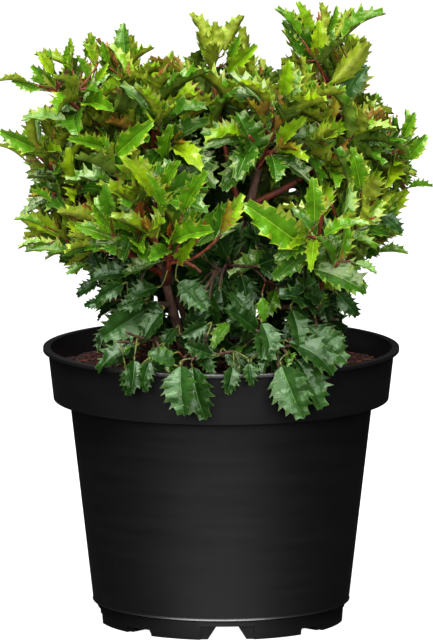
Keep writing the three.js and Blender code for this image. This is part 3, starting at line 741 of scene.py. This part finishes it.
def grow_shoots(index, mass):
    """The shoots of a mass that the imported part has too: its leader, branches and spur."""
    stem_name, at, age, tips = mass
    draw = seeded_random(SHOOT_SEED + index)
    stem = STEMS[stem_name]
    end = polar(*tips[0])
    if at == 1:
        curve = tip_curve(stem, end)
        leader = Shoot(curve, 0, stem["tip_radius"] * TIP_SHOOT_SHARE, age)
    else:
        curve = shoot_curve(stem_curve(stem).point(at), end)
        leader = Shoot(curve, BOUGH_SHARE + CLEARANCE / curve.length(), BOUGH_TIP_RADIUS, age)
    shoots = [leader]
    for tip in tips[1:]:
        start = curve.point(lerp(leader.first, 1, lerp(*BRANCHING_SHARES, draw())))
        shoots.append(Shoot(shoot_curve(start, polar(*tip)), 0, leader.radius * BRANCH_RADIUS_SHARE, age))
    return shoots + [grow_spur(leader, draw)]


def grow_twigs(shoots, tips, rng):
    """Finer twigs from a mass's shoots, kept inside the crown and apart from other tips."""
    twigs = []
    for parent in shoots[:-1]:
        turn = rng.uniform(0, 360)
        for order, place in enumerate(TWIG["places"]):
            share = lerp(parent.first, 1, place + rng.uniform(-TWIG["jitter"], TWIG["jitter"]))
            start = parent.curve.point(share)
            axis = parent.curve.heading(share)
            length = rng.uniform(*TWIG["lengths"])
            lean = rng.uniform(*TWIG["lean"])
            for attempt in range(TWIG["tries"]):
                direction, _ = lean_off(axis, lean, turn + order * GOLDEN_ANGLE + attempt * TWIG["turn"])
                direction[2] += TWIG["rise"][parent.age]
                direction = unit(direction)
                end = start + direction * length
                distances = np.linalg.norm(np.array(tips) - end, axis=1)
                ahead = (end - parent.curve.end).dot(parent.curve.heading(1))
                fits = distances.min() > TWIG["apart"] and ahead < -TWIG["behind"]
                if fits and inside_crown((end + direction * TWIG["tip_room"])[None]).all():
                    tips.append(end)
                    twigs.append(Shoot(shoot_curve(start, end), 0, TWIG["radius"], parent.age))
                    break
    return twigs


def crown_width(heights):
    rise = np.clip((heights - CROWN_MIDDLE) / CROWN_HALF_HEIGHT, 0, 0.999)
    return CROWN_REACH * (1 - rise ** CROWN_ROUNDNESS) ** (1 / CROWN_ROUNDNESS)


def inside_crown(points):
    """True for each point inside the crown's outline, above the pot or hanging over its front."""
    x, y, z = points.T
    reach = np.hypot(x - CROWN_CENTRE_X, y)
    over_front = (y < 0) & (np.abs(x) < FRONT_SKIRT_WIDTH / 2)
    past_rim = over_front & (reach > RIM_RADIUS + RIM_GAP)
    lowest = np.where(past_rim, POT_HEIGHT - HANG_DEPTH, POT_HEIGHT + RIM_GAP)
    lowest[reach < INSIDE_RIM] = SOIL_HEIGHT + SOIL_GAP
    foot = np.where(past_rim, POT_HEIGHT - HANG_DEPTH, POT_HEIGHT + 1)
    share = np.clip((z - foot) / (SKIRT_TOP - foot), 0, 1)
    skirt = np.where(over_front, FRONT_SKIRT_REACH, SKIRT_REACH)
    inside = (z > lowest) & (reach < lerp(skirt, crown_width(z), share ** SKIRT_SPREAD))
    inside &= z < np.interp(x, *zip(*CROWN_TOPS))
    seen_height = z + y * VIEW_SLOPE
    for left, right, low, high in SKY_WINDOWS:
        inside &= (x < left) | (x > right) | (seen_height < low) | (seen_height > high)
    for middle, radius in HOLLOWS:
        inside &= np.linalg.norm(points - middle, axis=1) > radius
    return inside


# Leaves

def leaf_rows(spines):
    """Rows along a leaf: place, edge factor, forward lead of the edge, and the count of spines passed."""
    rows = list(LEAF_FOOT_ROWS)
    step = (LAST_SPINE - FIRST_SPINE) / spines
    for spine in range(spines):
        for phase, reach in SPINE_PROFILE:
            lead = SPINE_LEAD if phase == 1 else 0.0
            rows.append((FIRST_SPINE + (spine + phase) * step, reach, lead, spine + phase))
    rows += [(place, edge, lead, spines + passed) for place, edge, lead, passed in LEAF_TIP_ROWS]
    return np.array(rows)


def leaf_template(style, rng):
    """A leaf of length 1 from the origin along +X, with its upper side towards +Z."""
    place, edge, lead, passed = leaf_rows(style["spines"]).T
    edge = 1 + (edge - 1) * rng.uniform(*SPINE_STRENGTH)
    fullest, fullness = LEAF_FULLNESS
    half = style["width"] / 2 * np.sin(math.pi * np.clip(place, *LEAF_ENDS) ** fullest) ** fullness
    half[0] = LEAF_FOOT_WIDTH
    half[-1] = LEAF_TIP_WIDTH
    fold = math.radians(rng.uniform(*style["fold"]))
    bend = math.radians(rng.uniform(*style["bend"]))
    phase = rng.uniform(0, 2 * math.pi)
    twist = math.radians(rng.uniform(-style["twist"], style["twist"]))
    pitch = bend * (LEAF_ARCH[0] - place ** LEAF_ARCH[1])
    steps = np.diff(place, prepend=0)
    zero = np.zeros(len(place))
    middle = np.stack((np.cumsum(np.cos(pitch) * steps), zero, np.cumsum(np.sin(pitch) * steps)), 1)
    along = np.stack((np.cos(pitch), zero, np.sin(pitch)), 1)
    above = np.stack((-np.sin(pitch), zero, np.cos(pitch)), 1)

    def column(sign, across, height, forward=0.0):
        """A line of points along the leaf: its distance from the rib, its height and its lead."""
        turn = twist * place
        reach = sign * across * math.cos(fold)
        lift = across * math.sin(fold) + height
        sideways = reach * np.cos(turn) - lift * np.sin(turn)
        upwards = reach * np.sin(turn) + lift * np.cos(turn)
        return (middle + sideways[:, None] * (0, 1, 0) + above * upwards[:, None]
                + along * (zero + forward)[:, None])

    outline = half + (edge - 1) * np.minimum(half, SPINE_REACH)
    inner = np.maximum(outline - MARGIN_WIDTH, half * MARGIN_LIMIT)
    rib = np.minimum(RIB_WIDTH * (1 - RIB_TAPER * place), half * RIB_LIMIT)
    swell = np.minimum(1, half / FLAT_WIDTH)
    vein = VEIN_DEPTH * -np.cos(2 * math.pi * passed) * swell
    spine_rise = SPINE_RISE * (edge > 1)
    sides = []
    for sign in (-1, 1):
        wave = style["ripple"] * np.sin(math.pi * passed + phase + (sign + 1) * RIPPLE_LAG) * swell
        sides.append([
            column(sign, outline, wave + spine_rise, lead),
            column(sign, inner, wave * INSIDE["wave"] + spine_rise * INSIDE["rise"], lead * INSIDE["lead"]),
            column(sign, half * VEIN_PLACE, vein),
            column(sign, rib, RIB_DEPTH),
        ])
    top = np.stack(sides[0] + [column(1, zero, -RIB_DEPTH)] + sides[1][::-1], axis=1)
    thick = LEAF_THICKNESS * np.minimum(1, half / THIN_WIDTH)
    bottom = np.stack((
        column(-1, half * VEIN_PLACE, vein - thick), column(1, zero, -RIB_DEPTH - thick * RIB_THICKENING),
        column(1, half * VEIN_PLACE, vein - thick)), axis=1)
    return template_mesh(top, bottom)


def strips(grid):
    """Faces between the columns of a grid, column by column."""
    left, right = grid[:, :-1].T, grid[:, 1:].T
    return list(np.stack((left[:, :-1], left[:, 1:], right[:, 1:], right[:, :-1]), axis=2))


def template_mesh(top, bottom):
    """Joins a leaf's upper and lower grids along the margin. Slot 0 stands for the leaf's own tint."""
    rows, wide = top.shape[:2]
    low = bottom.shape[1]
    centre = wide // 2
    upper = np.arange(rows * wide).reshape(rows, wide)
    lower = rows * wide + np.arange(rows * low).reshape(rows, low)
    beneath = np.concatenate((upper[:, :1], lower, upper[:, -1:]), axis=1)
    faces = strips(upper) + strips(beneath[:, ::-1])
    for row, order in ((0, 1), (rows - 1, -1)):
        ring = np.concatenate((upper[row], lower[row, ::-1]))
        ends = np.stack((ring[1:-1], ring[2:]), axis=1)[:, ::order]
        faces.append(np.column_stack((np.full(len(ends), ring[0]), ends, np.full(len(ends), -1))))
    faces = np.concatenate(faces)
    slots = np.full(len(faces), UNDER_SLOT)
    edge_or_rib = np.isin(np.arange(wide - 1), (0, centre - 1, centre, wide - 2))
    slots[:(wide - 1) * (rows - 1)] = np.repeat(np.where(edge_or_rib, MARGIN_SLOT, 0), rows - 1)
    points = np.concatenate((top.reshape(-1, 3), bottom.reshape(-1, 3)))
    sharp = np.zeros(len(points), bool)
    sharp[upper[:, [0, -1]]] = True
    first = int(rows * SAMPLES_FROM)
    samples = np.concatenate((top[first::3, centre], top[first::3, 2], top[first::3, wide - 3],
                              top[first::4, 0], top[first::4, -1], top[-1:, centre]))
    return {"points": points, "faces": faces, "slots": slots, "sharp": sharp, "samples": samples}


def lane_points():
    """Points along the stems that stay in view, each with half the width of its lane."""
    return np.array([
        (*stem_curve(STEMS[name]).point(share), half_width)
        for name, first, last, half_width in LANES for share in np.linspace(first, last, LANE_STEPS)])


def leaves_lanes_open(points, lanes):
    """True where no point stands in front of a stem that stays in view."""
    aside, behind, above = (points[:, None, axis] - lanes[:, axis] for axis in range(3))
    in_lane = (np.abs(aside) < lanes[:, 3]) & (np.abs(above + VIEW_SLOPE * behind) < LANE_LEVEL)
    return not (in_lane & (behind < LANE_DEPTH)).any()


class Space:
    """Marks the space that leaves and limbs already fill, on a fine grid."""

    def __init__(self):
        self.filled = np.zeros(GRID_SIZE, bool)
        reach = np.arange(-1, 2)
        ball = np.array([(x, y, z) for x in reach for y in reach for z in reach])
        self.ball = ball[np.abs(ball).sum(axis=1) < 3]

    def cells(self, points):
        cells = np.floor((points - GRID_LOW) / GRID_STEP).astype(int)
        return np.clip(cells, 2, np.array(GRID_SIZE) - 3)

    def is_free(self, points):
        cells = self.cells(points)
        return not self.filled[cells[:, 0], cells[:, 1], cells[:, 2]].any()

    def fill(self, points):
        cells = (self.cells(points)[:, None] + self.ball[None]).reshape(-1, 3)
        self.filled[cells[:, 0], cells[:, 1], cells[:, 2]] = True


def leaf_places(length):
    """Distances back from a shoot's tip at which its leaves grow."""
    last = min(LEAFY_STRETCH, length - 2)
    places = [step for step in ROSETTE_STEPS if step < last]
    back = ROSETTE_STEPS[-1] + LEAF_SPACING
    while back < last:
        places.append(back)
        back += LEAF_SPACING
    return places


def choose_style(place, age, depth, rng):
    """A leaf's style and kind of colour, from its place on the shoot and its depth in the crown."""
    if age == "old" or depth > DEPTHS["dark"]:
        at_tip = place < TIP_PLACES["dark"] and depth < DEPTHS["dark_tip"]
        return ("mature", "mid") if at_tip else ("old", "old")
    if place < TIP_PLACES["bronze"]:
        return "bud", "bronze"
    if place < TIP_PLACES["new"] or (place < TIP_PLACES["some_new"] and rng.random() < MIXED_SHARE):
        return "new", "new"
    if place < TIP_PLACES["mid"] and depth < DEPTHS["mid"]:
        return "mature", "mid"
    return ("mature", "mid") if rng.random() < MIXED_SHARE else ("old", "old")


def depth_in_crown(point):
    """0 at the crown's surface, 1 at its middle."""
    reach = math.hypot(point[0], point[1]) / float(crown_width(np.array([point[2]]))[0])
    height = max(0.0, (point[2] - DEPTH_FOOT) / (CROWN_MIDDLE + CROWN_HALF_HEIGHT - DEPTH_FOOT))
    return 1 - min(1.0, math.hypot(reach, height * DEPTH_FLATNESS))


def leaf_frame(axis, place, turn, sag, out):
    """The way a leaf points, its upper side, and the side of the shoot that it leaves."""
    lean = min(LEAF_LEAN["first"] + place * LEAF_LEAN["step"], LEAF_LEAN["most"])
    along, spread = lean_off(axis, lean, turn)
    along[2] -= sag * math.sin(math.radians(lean))
    along = unit(along)
    upper = axis + (0, 0, SKY_PULL) + out * OUTWARD_PULL
    return along, unit(upper - along * upper.dot(along)), spread


def posed(points, size, base, along, upper):
    """A leaf template's points in place, with the petiole's foot at the base."""
    turn = np.stack((along, np.cross(upper, along), upper))
    return points * size @ turn + base + along * PETIOLE_LENGTH


def place_leaf(heaps, stalks, template, kind, tint, base, along, upper, size, out):
    """Adds a leaf and its petiole. All but the few bronze leaves are split into front and back."""
    piece = kind if kind == "bronze" else f"{kind}_{'front' if base[1] < 0 else 'back'}"
    slots = np.where(template["slots"] == 0, tint, template["slots"])
    points = posed(template["points"], size, base, along, upper)
    heaps[piece].add(points, template["faces"], slots, template["sharp"])
    start = base - out * PETIOLE_ROOT
    end = base + along * PETIOLE_LENGTH + along * size * PETIOLE_INTO_LEAF
    stalks.add(*tube(np.array([start, lerp(start, end, 0.5), end]), PETIOLE_RADII, 4), 1)


def grow_leaves(shoots, space, templates, rng):
    heaps = {name: Heap() for name in LEAF_PIECES}
    stalks = Heap()
    lanes = np.concatenate((lane_points(), show_leaves(shoots, heaps, stalks, templates, space, rng)))
    turns = [rng.uniform(0, 360) for _ in shoots]
    bronze = [rng.random() < BRONZE_SHARE for _ in shoots]
    jobs = []
    for number, shoot in enumerate(shoots):
        whole = shoot.curve.length()
        leafy = whole * (1 - min(BARE_SHARE, shoot.first))
        jobs += [(place, number, 1 - back / whole) for place, back in enumerate(leaf_places(leafy))]
    for place, number, t in sorted(jobs):
        shoot = shoots[number]
        base = shoot.curve.point(t)
        axis = shoot.curve.heading(t)
        depth = depth_in_crown(base)
        style, kind = choose_style(place, shoot.age, depth, rng)
        if kind == "bronze" and not bronze[number]:
            kind = "new"
        whole_size = LEAF_SIZES[min(place, len(LEAF_SIZES) - 1)] * rng.uniform(*LEAF_SIZE_SPREAD)
        template = templates[style][int(rng.integers(LEAF_VARIANTS))]
        tint = (number + int(rng.random() < OTHER_TINT_SHARE)) % UPPER_SLOTS
        if kind == "old" and tint == PALE_TINT and (depth > DEPTHS["pale"] or base[2] > PALE_TOP):
            tint = number % PALE_TINT
        rise = max(0.0, base[2] - CROWN_MIDDLE) * OUTWARD_RISE["share"] + OUTWARD_RISE["least"]
        out = unit(np.array((base[0], base[1], rise)))
        for scale, roll in LEAF_TRIES:
            turn = turns[number] + place * GOLDEN_ANGLE + roll
            along, upper, spread = leaf_frame(axis, place, turn, SAG[shoot.age], out)
            size = whole_size * scale
            samples = posed(template["samples"], size, base, along, upper)
            fits = inside_crown(samples).all() and space.is_free(samples)
            if fits and leaves_lanes_open(samples, lanes):
                place_leaf(heaps, stalks, template, kind, tint, base, along, upper, size, spread)
                space.fill(samples)
                break
    return heaps, stalks


def heart_leaves(rng):
    """Rows for more leaves deep in the crown's foot, apart from each other and clear of the stems."""
    taken = [stem_curve(stem).point(share) for stem in STEMS.values()
             for share in np.linspace(0, 1, HEART_LEAVES["stem_points"])]
    rows = []
    for _ in range(HEART_LEAVES["tries"]):
        base = rng.uniform(HEART_LEAVES["low"], HEART_LEAVES["high"])
        way = unit(rng.uniform(HEART_LEAVES["way_low"], HEART_LEAVES["way_high"]))
        way *= rng.uniform(*HEART_LEAVES["lengths"])
        middle = base + way / 2
        if np.linalg.norm(np.array(taken) - middle, axis=1).min() > HEART_LEAVES["apart"]:
            taken.append(middle)
            rows.append(("old", *base, *way))
    return tuple(rows)


def show_leaves(shoots, heaps, stalks, templates, space, rng):
    """Sets the leaves that stand out, each on a twig from the nearest shoot, and gives their lanes."""
    on_shoots = np.array([shoot.curve.point(lerp(shoot.first, 1, share))
                          for shoot in shoots for share in np.linspace(0, 1, SHOWN_TWIG["places"])])
    lanes = []
    for kind, x, y, z, right, back, up, *facing in SHOWN_LEAVES + heart_leaves(rng):
        base = np.array((x, y, z), float)
        way = np.array((right, back, up), float)
        along = unit(way)
        upper = np.array(FACINGS[facing[0] if facing else "upper"]) + (x * SHOWN_TURN, 0, 0)
        upper = unit(upper - along * upper.dot(along))
        roll = math.radians(rng.uniform(-SHOWN_ROLL, SHOWN_ROLL))
        upper = upper * math.cos(roll) + np.cross(along, upper) * math.sin(roll)
        size = np.linalg.norm(way) * SHOWN_STRETCH - PETIOLE_LENGTH
        style, kind = SHOWN_STYLES[kind]
        template = templates[style][int(rng.integers(LEAF_VARIANTS))]
        tint = PALE_TINT if style == "broad" else GREEN_TINT
        if style != "broad" and base[2] >= LIME_HEIGHT:
            tint = int(rng.integers(UPPER_SLOTS))
        place_leaf(heaps, stalks, template, kind, tint, base, along, upper, size, -along)
        samples = posed(template["samples"], size, base, along, upper)
        space.fill(samples)
        if base[1] < 0:
            lanes.append(np.column_stack((samples, np.full(len(samples), SHOWN_LANE))))
        nearest = on_shoots[np.linalg.norm(on_shoots - base, axis=1).argmin()]
        elbow = lerp(nearest, base, 0.5) - along
        _, points = curve_points(Curve(nearest, elbow, base), 0, 1, SHOWN_TWIG["step"])
        radii = np.full(len(points), SHOWN_TWIG["radius"])
        stalks.add(*tube(points, radii, SHOWN_TWIG["sides"]), int(kind == "old"))
        space.fill(points)
    return np.concatenate(lanes)


# Pieces

def make_limbs(shoots_by_mass, space, rng):
    stems = Heap()
    boughs = Heap()
    for stem in STEMS.values():
        shares, points = curve_points(stem_curve(stem), 0, 1, LIMBS["stem"][0])
        height = stem["top"][2] - SOIL_HEIGHT
        flare = np.clip(1 - shares * height / FLARE_HEIGHT, 0, 1)
        radii = lerp(stem["radius"], stem["tip_radius"], shares) * (1 + (ROOT_FLARE - 1) * flare ** 2)
        stems.add(*barked_tube(points, radii, "stem", rng), 0)
        space.fill(points)
    for (leader, *_), (stem_name, at, age, _) in zip(shoots_by_mass, MASSES.values()):
        if at == 1:
            continue
        stem = STEMS[stem_name]
        root = lerp(stem["radius"], stem["tip_radius"], at) * BOUGH_ROOT_SHARE
        shares, points = curve_points(leader.curve, 0, leader.first, LIMBS["bough"][0])
        collar = 1 + BOUGH_COLLAR["rise"] * np.exp(-shares * BOUGH_COLLAR["fall"])
        radii = lerp(root, BOUGH_TIP_RADIUS, shares) * collar
        boughs.add(*barked_tube(points, radii, "bough", rng), int(age == "old"))
        space.fill(points)
    return stems, boughs


def make_twigs(shoots, space, rng):
    twigs = Heap()
    for shoot in shoots:
        shares, points = curve_points(shoot.curve, shoot.first, 1, LIMBS["twig"][0])
        radii = lerp(shoot.radius, SHOOT_TIP_RADIUS, shares)
        twigs.add(*barked_tube(points, radii, "twig", rng), int(shoot.age == "old"))
        space.fill(points)
    return twigs


def lathe(profile, segments):
    """A solid turned from (radius, height) points that start and end on the axis."""
    radii, heights = np.array(profile[1:-1], float).T
    angles = circle(segments)
    points = np.stack((np.outer(radii, np.cos(angles)), np.outer(radii, np.sin(angles)),
                       np.repeat(heights[:, None], segments, axis=1)), axis=2).reshape(-1, 3)
    ends = ((0, 0, profile[0][1]), (0, 0, profile[-1][1]))
    return np.concatenate((points, ends)), closed_faces(len(radii), segments)


def rounded(profile, corners):
    """Rounds named corners of a profile: corners gives {index: radius}."""
    result = []
    for index, point in enumerate(profile):
        if index not in corners:
            result.append(point)
            continue
        here = Vector(point)
        back = (Vector(profile[index - 1]) - here).normalized() * corners[index]
        ahead = (Vector(profile[index + 1]) - here).normalized() * corners[index]
        for step in range(ROUNDING_STEPS + 1):
            t = step / ROUNDING_STEPS
            result.append(tuple(here + back * (1 - t) ** 2 + ahead * t * t))
    return result


def channel_prisms(collection):
    for number in range(CHANNEL_COUNT):
        channel = WIDE_CHANNEL if number % 2 == 0 else NARROW_CHANNEL
        azimuth = math.radians(FIRST_CHANNEL_AZIMUTH + number * 360 / CHANNEL_COUNT)
        outside = BODY_FOOT_RADIUS + CHANNEL_PAST_WALL
        sections = ((CHANNEL_INNER_RADIUS, channel["foot"], channel["roof"]),
                    (NOTCH_INNER_RADIUS, channel["notch"], channel["notch"]))
        for inner, foot, roof in sections:
            work = bmesh.new()
            bmesh.ops.create_cube(work, size=1)
            for vertex in work.verts:
                wide = roof if vertex.co.z > 0 else foot
                vertex.co.x = inner if vertex.co.x < 0 else outside
                vertex.co.y *= wide
                vertex.co.z = channel["height"] if vertex.co.z > 0 else -CHANNEL_BELOW_FOOT
                if inner == NOTCH_INNER_RADIUS and vertex.co.x == inner:
                    vertex.co.x += NOTCH_LEAN * vertex.co.z
                vertex.co *= MM
            mesh = bpy.data.meshes.new("channel")
            work.to_mesh(mesh)
            work.free()
            prism = bpy.data.objects.new("channel", mesh)
            prism.rotation_euler.z = azimuth
            collection.objects.link(prism)


def smooth_but_creased(mesh, angle):
    """Smooth shading, with the edges sharper than the angle kept crisp."""
    work = bmesh.new()
    work.from_mesh(mesh)
    bmesh.ops.dissolve_degenerate(work, dist=1e-6, edges=work.edges)
    for face in work.faces:
        face.smooth = True
    for edge in work.edges:
        edge.smooth = len(edge.link_faces) == 2 and edge.calc_face_angle() < angle
    work.to_mesh(mesh)
    work.free()


def make_pot():
    slope = (COLLAR_TOP_RADIUS - COLLAR_FOOT_RADIUS) / (POT_HEIGHT - COLLAR_FOOT_HEIGHT)
    step = COLLAR_FOOT_HEIGHT + POT_WALL
    brim = POT_HEIGHT - RIM_DEPTH
    foot = BODY_FOOT_RADIUS
    profile = rounded([
        (0, 0), (SKIRT_FOOT_RADIUS, 0), (SKIRT_TOP_RADIUS, SKIRT_HEIGHT), (foot, SKIRT_HEIGHT),
        *((foot + out, SKIRT_HEIGHT + up) for out, up in SKIRT_BEAD),
        (BODY_TOP_RADIUS, COLLAR_FOOT_HEIGHT), (COLLAR_FOOT_RADIUS, COLLAR_FOOT_HEIGHT),
        (COLLAR_TOP_RADIUS - RIM_DEPTH * slope, brim), (RIM_RADIUS, brim), (RIM_RADIUS, POT_HEIGHT),
        (COLLAR_TOP_RADIUS - POT_WALL, POT_HEIGHT), (COLLAR_FOOT_RADIUS - POT_WALL + slope * POT_WALL, step),
        (BODY_TOP_RADIUS - POT_WALL, step), (foot - POT_WALL + INNER_FLOOR_SPREAD, INNER_FLOOR),
        (0, INNER_FLOOR),
    ], POT_ROUNDING)
    heap = Heap()
    heap.add(*lathe(profile, POT_SEGMENTS), 0)
    pot = heap.piece("pot_body", [])
    prisms = bpy.data.collections.new("channels")
    bpy.context.scene.collection.children.link(prisms)
    channel_prisms(prisms)
    cut = pot.modifiers.new("channels", "BOOLEAN")
    cut.operand_type = "COLLECTION"
    cut.collection = prisms
    cut.operation = "DIFFERENCE"
    cut.solver = "EXACT"
    depsgraph = bpy.context.evaluated_depsgraph_get()
    carved = bpy.data.meshes.new_from_object(pot.evaluated_get(depsgraph))
    pot.modifiers.clear()
    pot.data = carved
    for prism in list(prisms.objects):
        bpy.data.objects.remove(prism)
    bpy.data.collections.remove(prisms)
    smooth_but_creased(carved, math.radians(CREASE_ANGLE))
    carved.materials.clear()
    carved.materials.append(plastic_material())
    return pot


def soil_level(x, y):
    """The soil's height at a place, with lumps and a lower edge by the pot's wall."""
    edge = max(0.0, (math.hypot(x, y) - SOIL_FLAT_REACH) / (SOIL_REACH - SOIL_FLAT_REACH))
    lumps = sum(noise.noise(Vector((x / width, y / width, layer))) * height
                for width, layer, height in SOIL_LUMPS)
    return SOIL_HEIGHT - SOIL_SINK - SOIL_EDGE_DROP * edge + lumps


def make_soil(material):
    heap = Heap()
    angles = circle(SOIL_SPOKES)
    points = [(0, 0, soil_level(0, 0))]
    for reach in SOIL_REACH * np.sqrt(np.arange(1, SOIL_RINGS + 1) / SOIL_RINGS):
        for angle in angles:
            x, y = reach * math.cos(angle), reach * math.sin(angle)
            points.append((x, y, soil_level(x, y)))
    foot_height = COLLAR_FOOT_HEIGHT + POT_WALL + CLEARANCE
    foot_radius = COLLAR_FOOT_RADIUS - POT_WALL - CLEARANCE
    points += [(foot_radius * math.cos(angle), foot_radius * math.sin(angle), foot_height)
               for angle in angles]
    points.append((0, 0, foot_height))
    side = 1 + np.arange(SOIL_SPOKES)
    faces = [fan(0, side[::-1]), fan(len(points) - 1, side + SOIL_RINGS * SOIL_SPOKES)]
    for ring in range(SOIL_RINGS):
        low = side + ring * SOIL_SPOKES
        high = low + SOIL_SPOKES
        faces.append(np.stack((low, high, np.roll(high, -1), np.roll(low, -1)), axis=1))
    heap.add(np.array(points), np.concatenate(faces), 0)
    return heap.piece("soil_surface", [material])


def make_soil_bits(rng):
    """Lumps, bark chips and fibres strewn over the soil."""
    heap = Heap()
    ball = bmesh.new()
    bmesh.ops.create_icosphere(ball, subdivisions=1, radius=1)
    points = np.array([vertex.co[:] for vertex in ball.verts])
    faces = np.array([[vertex.index for vertex in face.verts] + [-1] for face in ball.faces])
    ball.free()
    chances, sizes = zip(*SOIL_BITS.values())
    for _ in range(BIT_COUNT):
        reach = (SOIL_REACH - BIT_OFF_WALL) * math.sqrt(rng.random())
        angle = rng.uniform(0, 2 * math.pi)
        x, y = reach * math.cos(angle), reach * math.sin(angle)
        kind = int(rng.choice(len(chances), p=chances))
        size = np.array(sizes[kind]) * rng.uniform(*BIT_SCALES)
        lumpy = points * (1 + rng.uniform(-BIT_LUMPS, BIT_LUMPS, (len(points), 1))) * size
        spin = rng.uniform(0, 2 * math.pi)
        tilt = rng.uniform(-BIT_TILT, BIT_TILT)
        c, s = math.cos(spin), math.sin(spin)
        turned = lumpy @ ((c, s, tilt), (-s, c, 0), (0, 0, 1))
        heap.add(turned + (x, y, soil_level(x, y) + size[2] * BIT_LIFT), faces, kind)
    return heap.piece("soil_bits", [bark_material(name) for name in SOIL_BITS])


def make_studio():
    work = bmesh.new()
    bmesh.ops.create_grid(work, x_segments=FLOOR_CELLS, y_segments=FLOOR_CELLS, size=FLOOR_REACH)
    mesh = bpy.data.meshes.new("studio_floor")
    work.to_mesh(mesh)
    work.free()
    mesh.materials.append(floor_material())
    floor = add_object("studio_floor", mesh)
    floor.location.z = -FLOOR_DROP
    # The photograph was cut out onto white, so the paper lights the plant but isn't mirrored in it
    floor.visible_glossy = False
    for name, (place, target, size, power) in LAMPS.items():
        lamp = bpy.data.lights.new(name, "AREA")
        lamp.shape = "RECTANGLE"
        lamp.size, lamp.size_y = size
        lamp.energy = power
        holder = add_object(name, lamp)
        holder.location = place
        holder.rotation_euler = (Vector(target) - Vector(place)).to_track_quat("-Z", "Y").to_euler()
    world = bpy.data.worlds.new("studio")
    world.use_nodes = True
    background = world.node_tree.nodes["Background"].inputs
    background["Color"].default_value = WHITE
    background["Strength"].default_value = WORLD_LIGHT
    bpy.context.scene.world = world
    bpy.context.scene.view_settings.view_transform = "Standard"


def make_camera():
    data = bpy.data.cameras.new("camera")
    data.lens = CAMERA_LENS
    data.sensor_width = SENSOR_SIZE
    data.clip_end = CAMERA_SIGHT
    camera = add_object("camera", data)
    camera.location = CAMERA_PLACE
    camera.rotation_euler = (math.radians(90 - CAMERA_PITCH), 0, 0)
    bpy.context.scene.camera = camera


def finish_piece(piece, nodes=()):
    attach(piece, "root")
    if nodes:
        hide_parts(*nodes)


def main():
    make_camera()
    make_studio()
    rng = np.random.default_rng(RANDOM_SEED)
    shoots_by_mass = [grow_shoots(index, mass) for index, mass in enumerate(MASSES.values())]
    tips = [shoot.curve.point(1) for shoots in shoots_by_mass for shoot in shoots]
    all_shoots = []
    for shoots in shoots_by_mass:
        all_shoots += shoots + grow_twigs(shoots, tips, rng)
    space = Space()
    stems, boughs = make_limbs(shoots_by_mass, space, rng)
    twigs = make_twigs(all_shoots, space, rng)
    templates = {name: [leaf_template(style, rng) for _ in range(LEAF_VARIANTS)]
                 for name, style in LEAF_STYLES.items()}
    heaps, stalks = grow_leaves(all_shoots, space, templates, rng)

    old_bark, young_bark, dull_bark, stalk = (
        bark_material(name) for name in ("old_bark", "young_bark", "dull_bark", "petiole"))
    finish_piece(stems.piece("stems", [old_bark]), [f"stem_{name}" for name in STEMS])
    bough_nodes = [f"bough_{name}" for name, mass in MASSES.items() if mass[1] != 1]
    finish_piece(boughs.piece("boughs", [young_bark, dull_bark]), bough_nodes)
    finish_piece(twigs.piece("twigs", [young_bark, dull_bark]))
    finish_piece(stalks.piece("petioles", [young_bark, stalk]))
    masses = {age: [f"foliage_{name}" for name, mass in MASSES.items() if mass[2] == age]
              for age in ("young", "old")}
    nodes = {"new_front": masses["young"], "old_front": masses["old"]}
    looks = {kind: leaf_materials(kind) for kind in LEAF_COLOURS}
    for name in LEAF_PIECES:
        kind = name.split("_")[0]
        finish_piece(heaps[name].piece(f"leaves_{name}", looks[kind]), nodes.get(name, ()))
    finish_piece(make_pot(), ["pot"])
    finish_piece(make_soil(soil_material()), ["soil"])
    finish_piece(make_soil_bits(rng))


main()
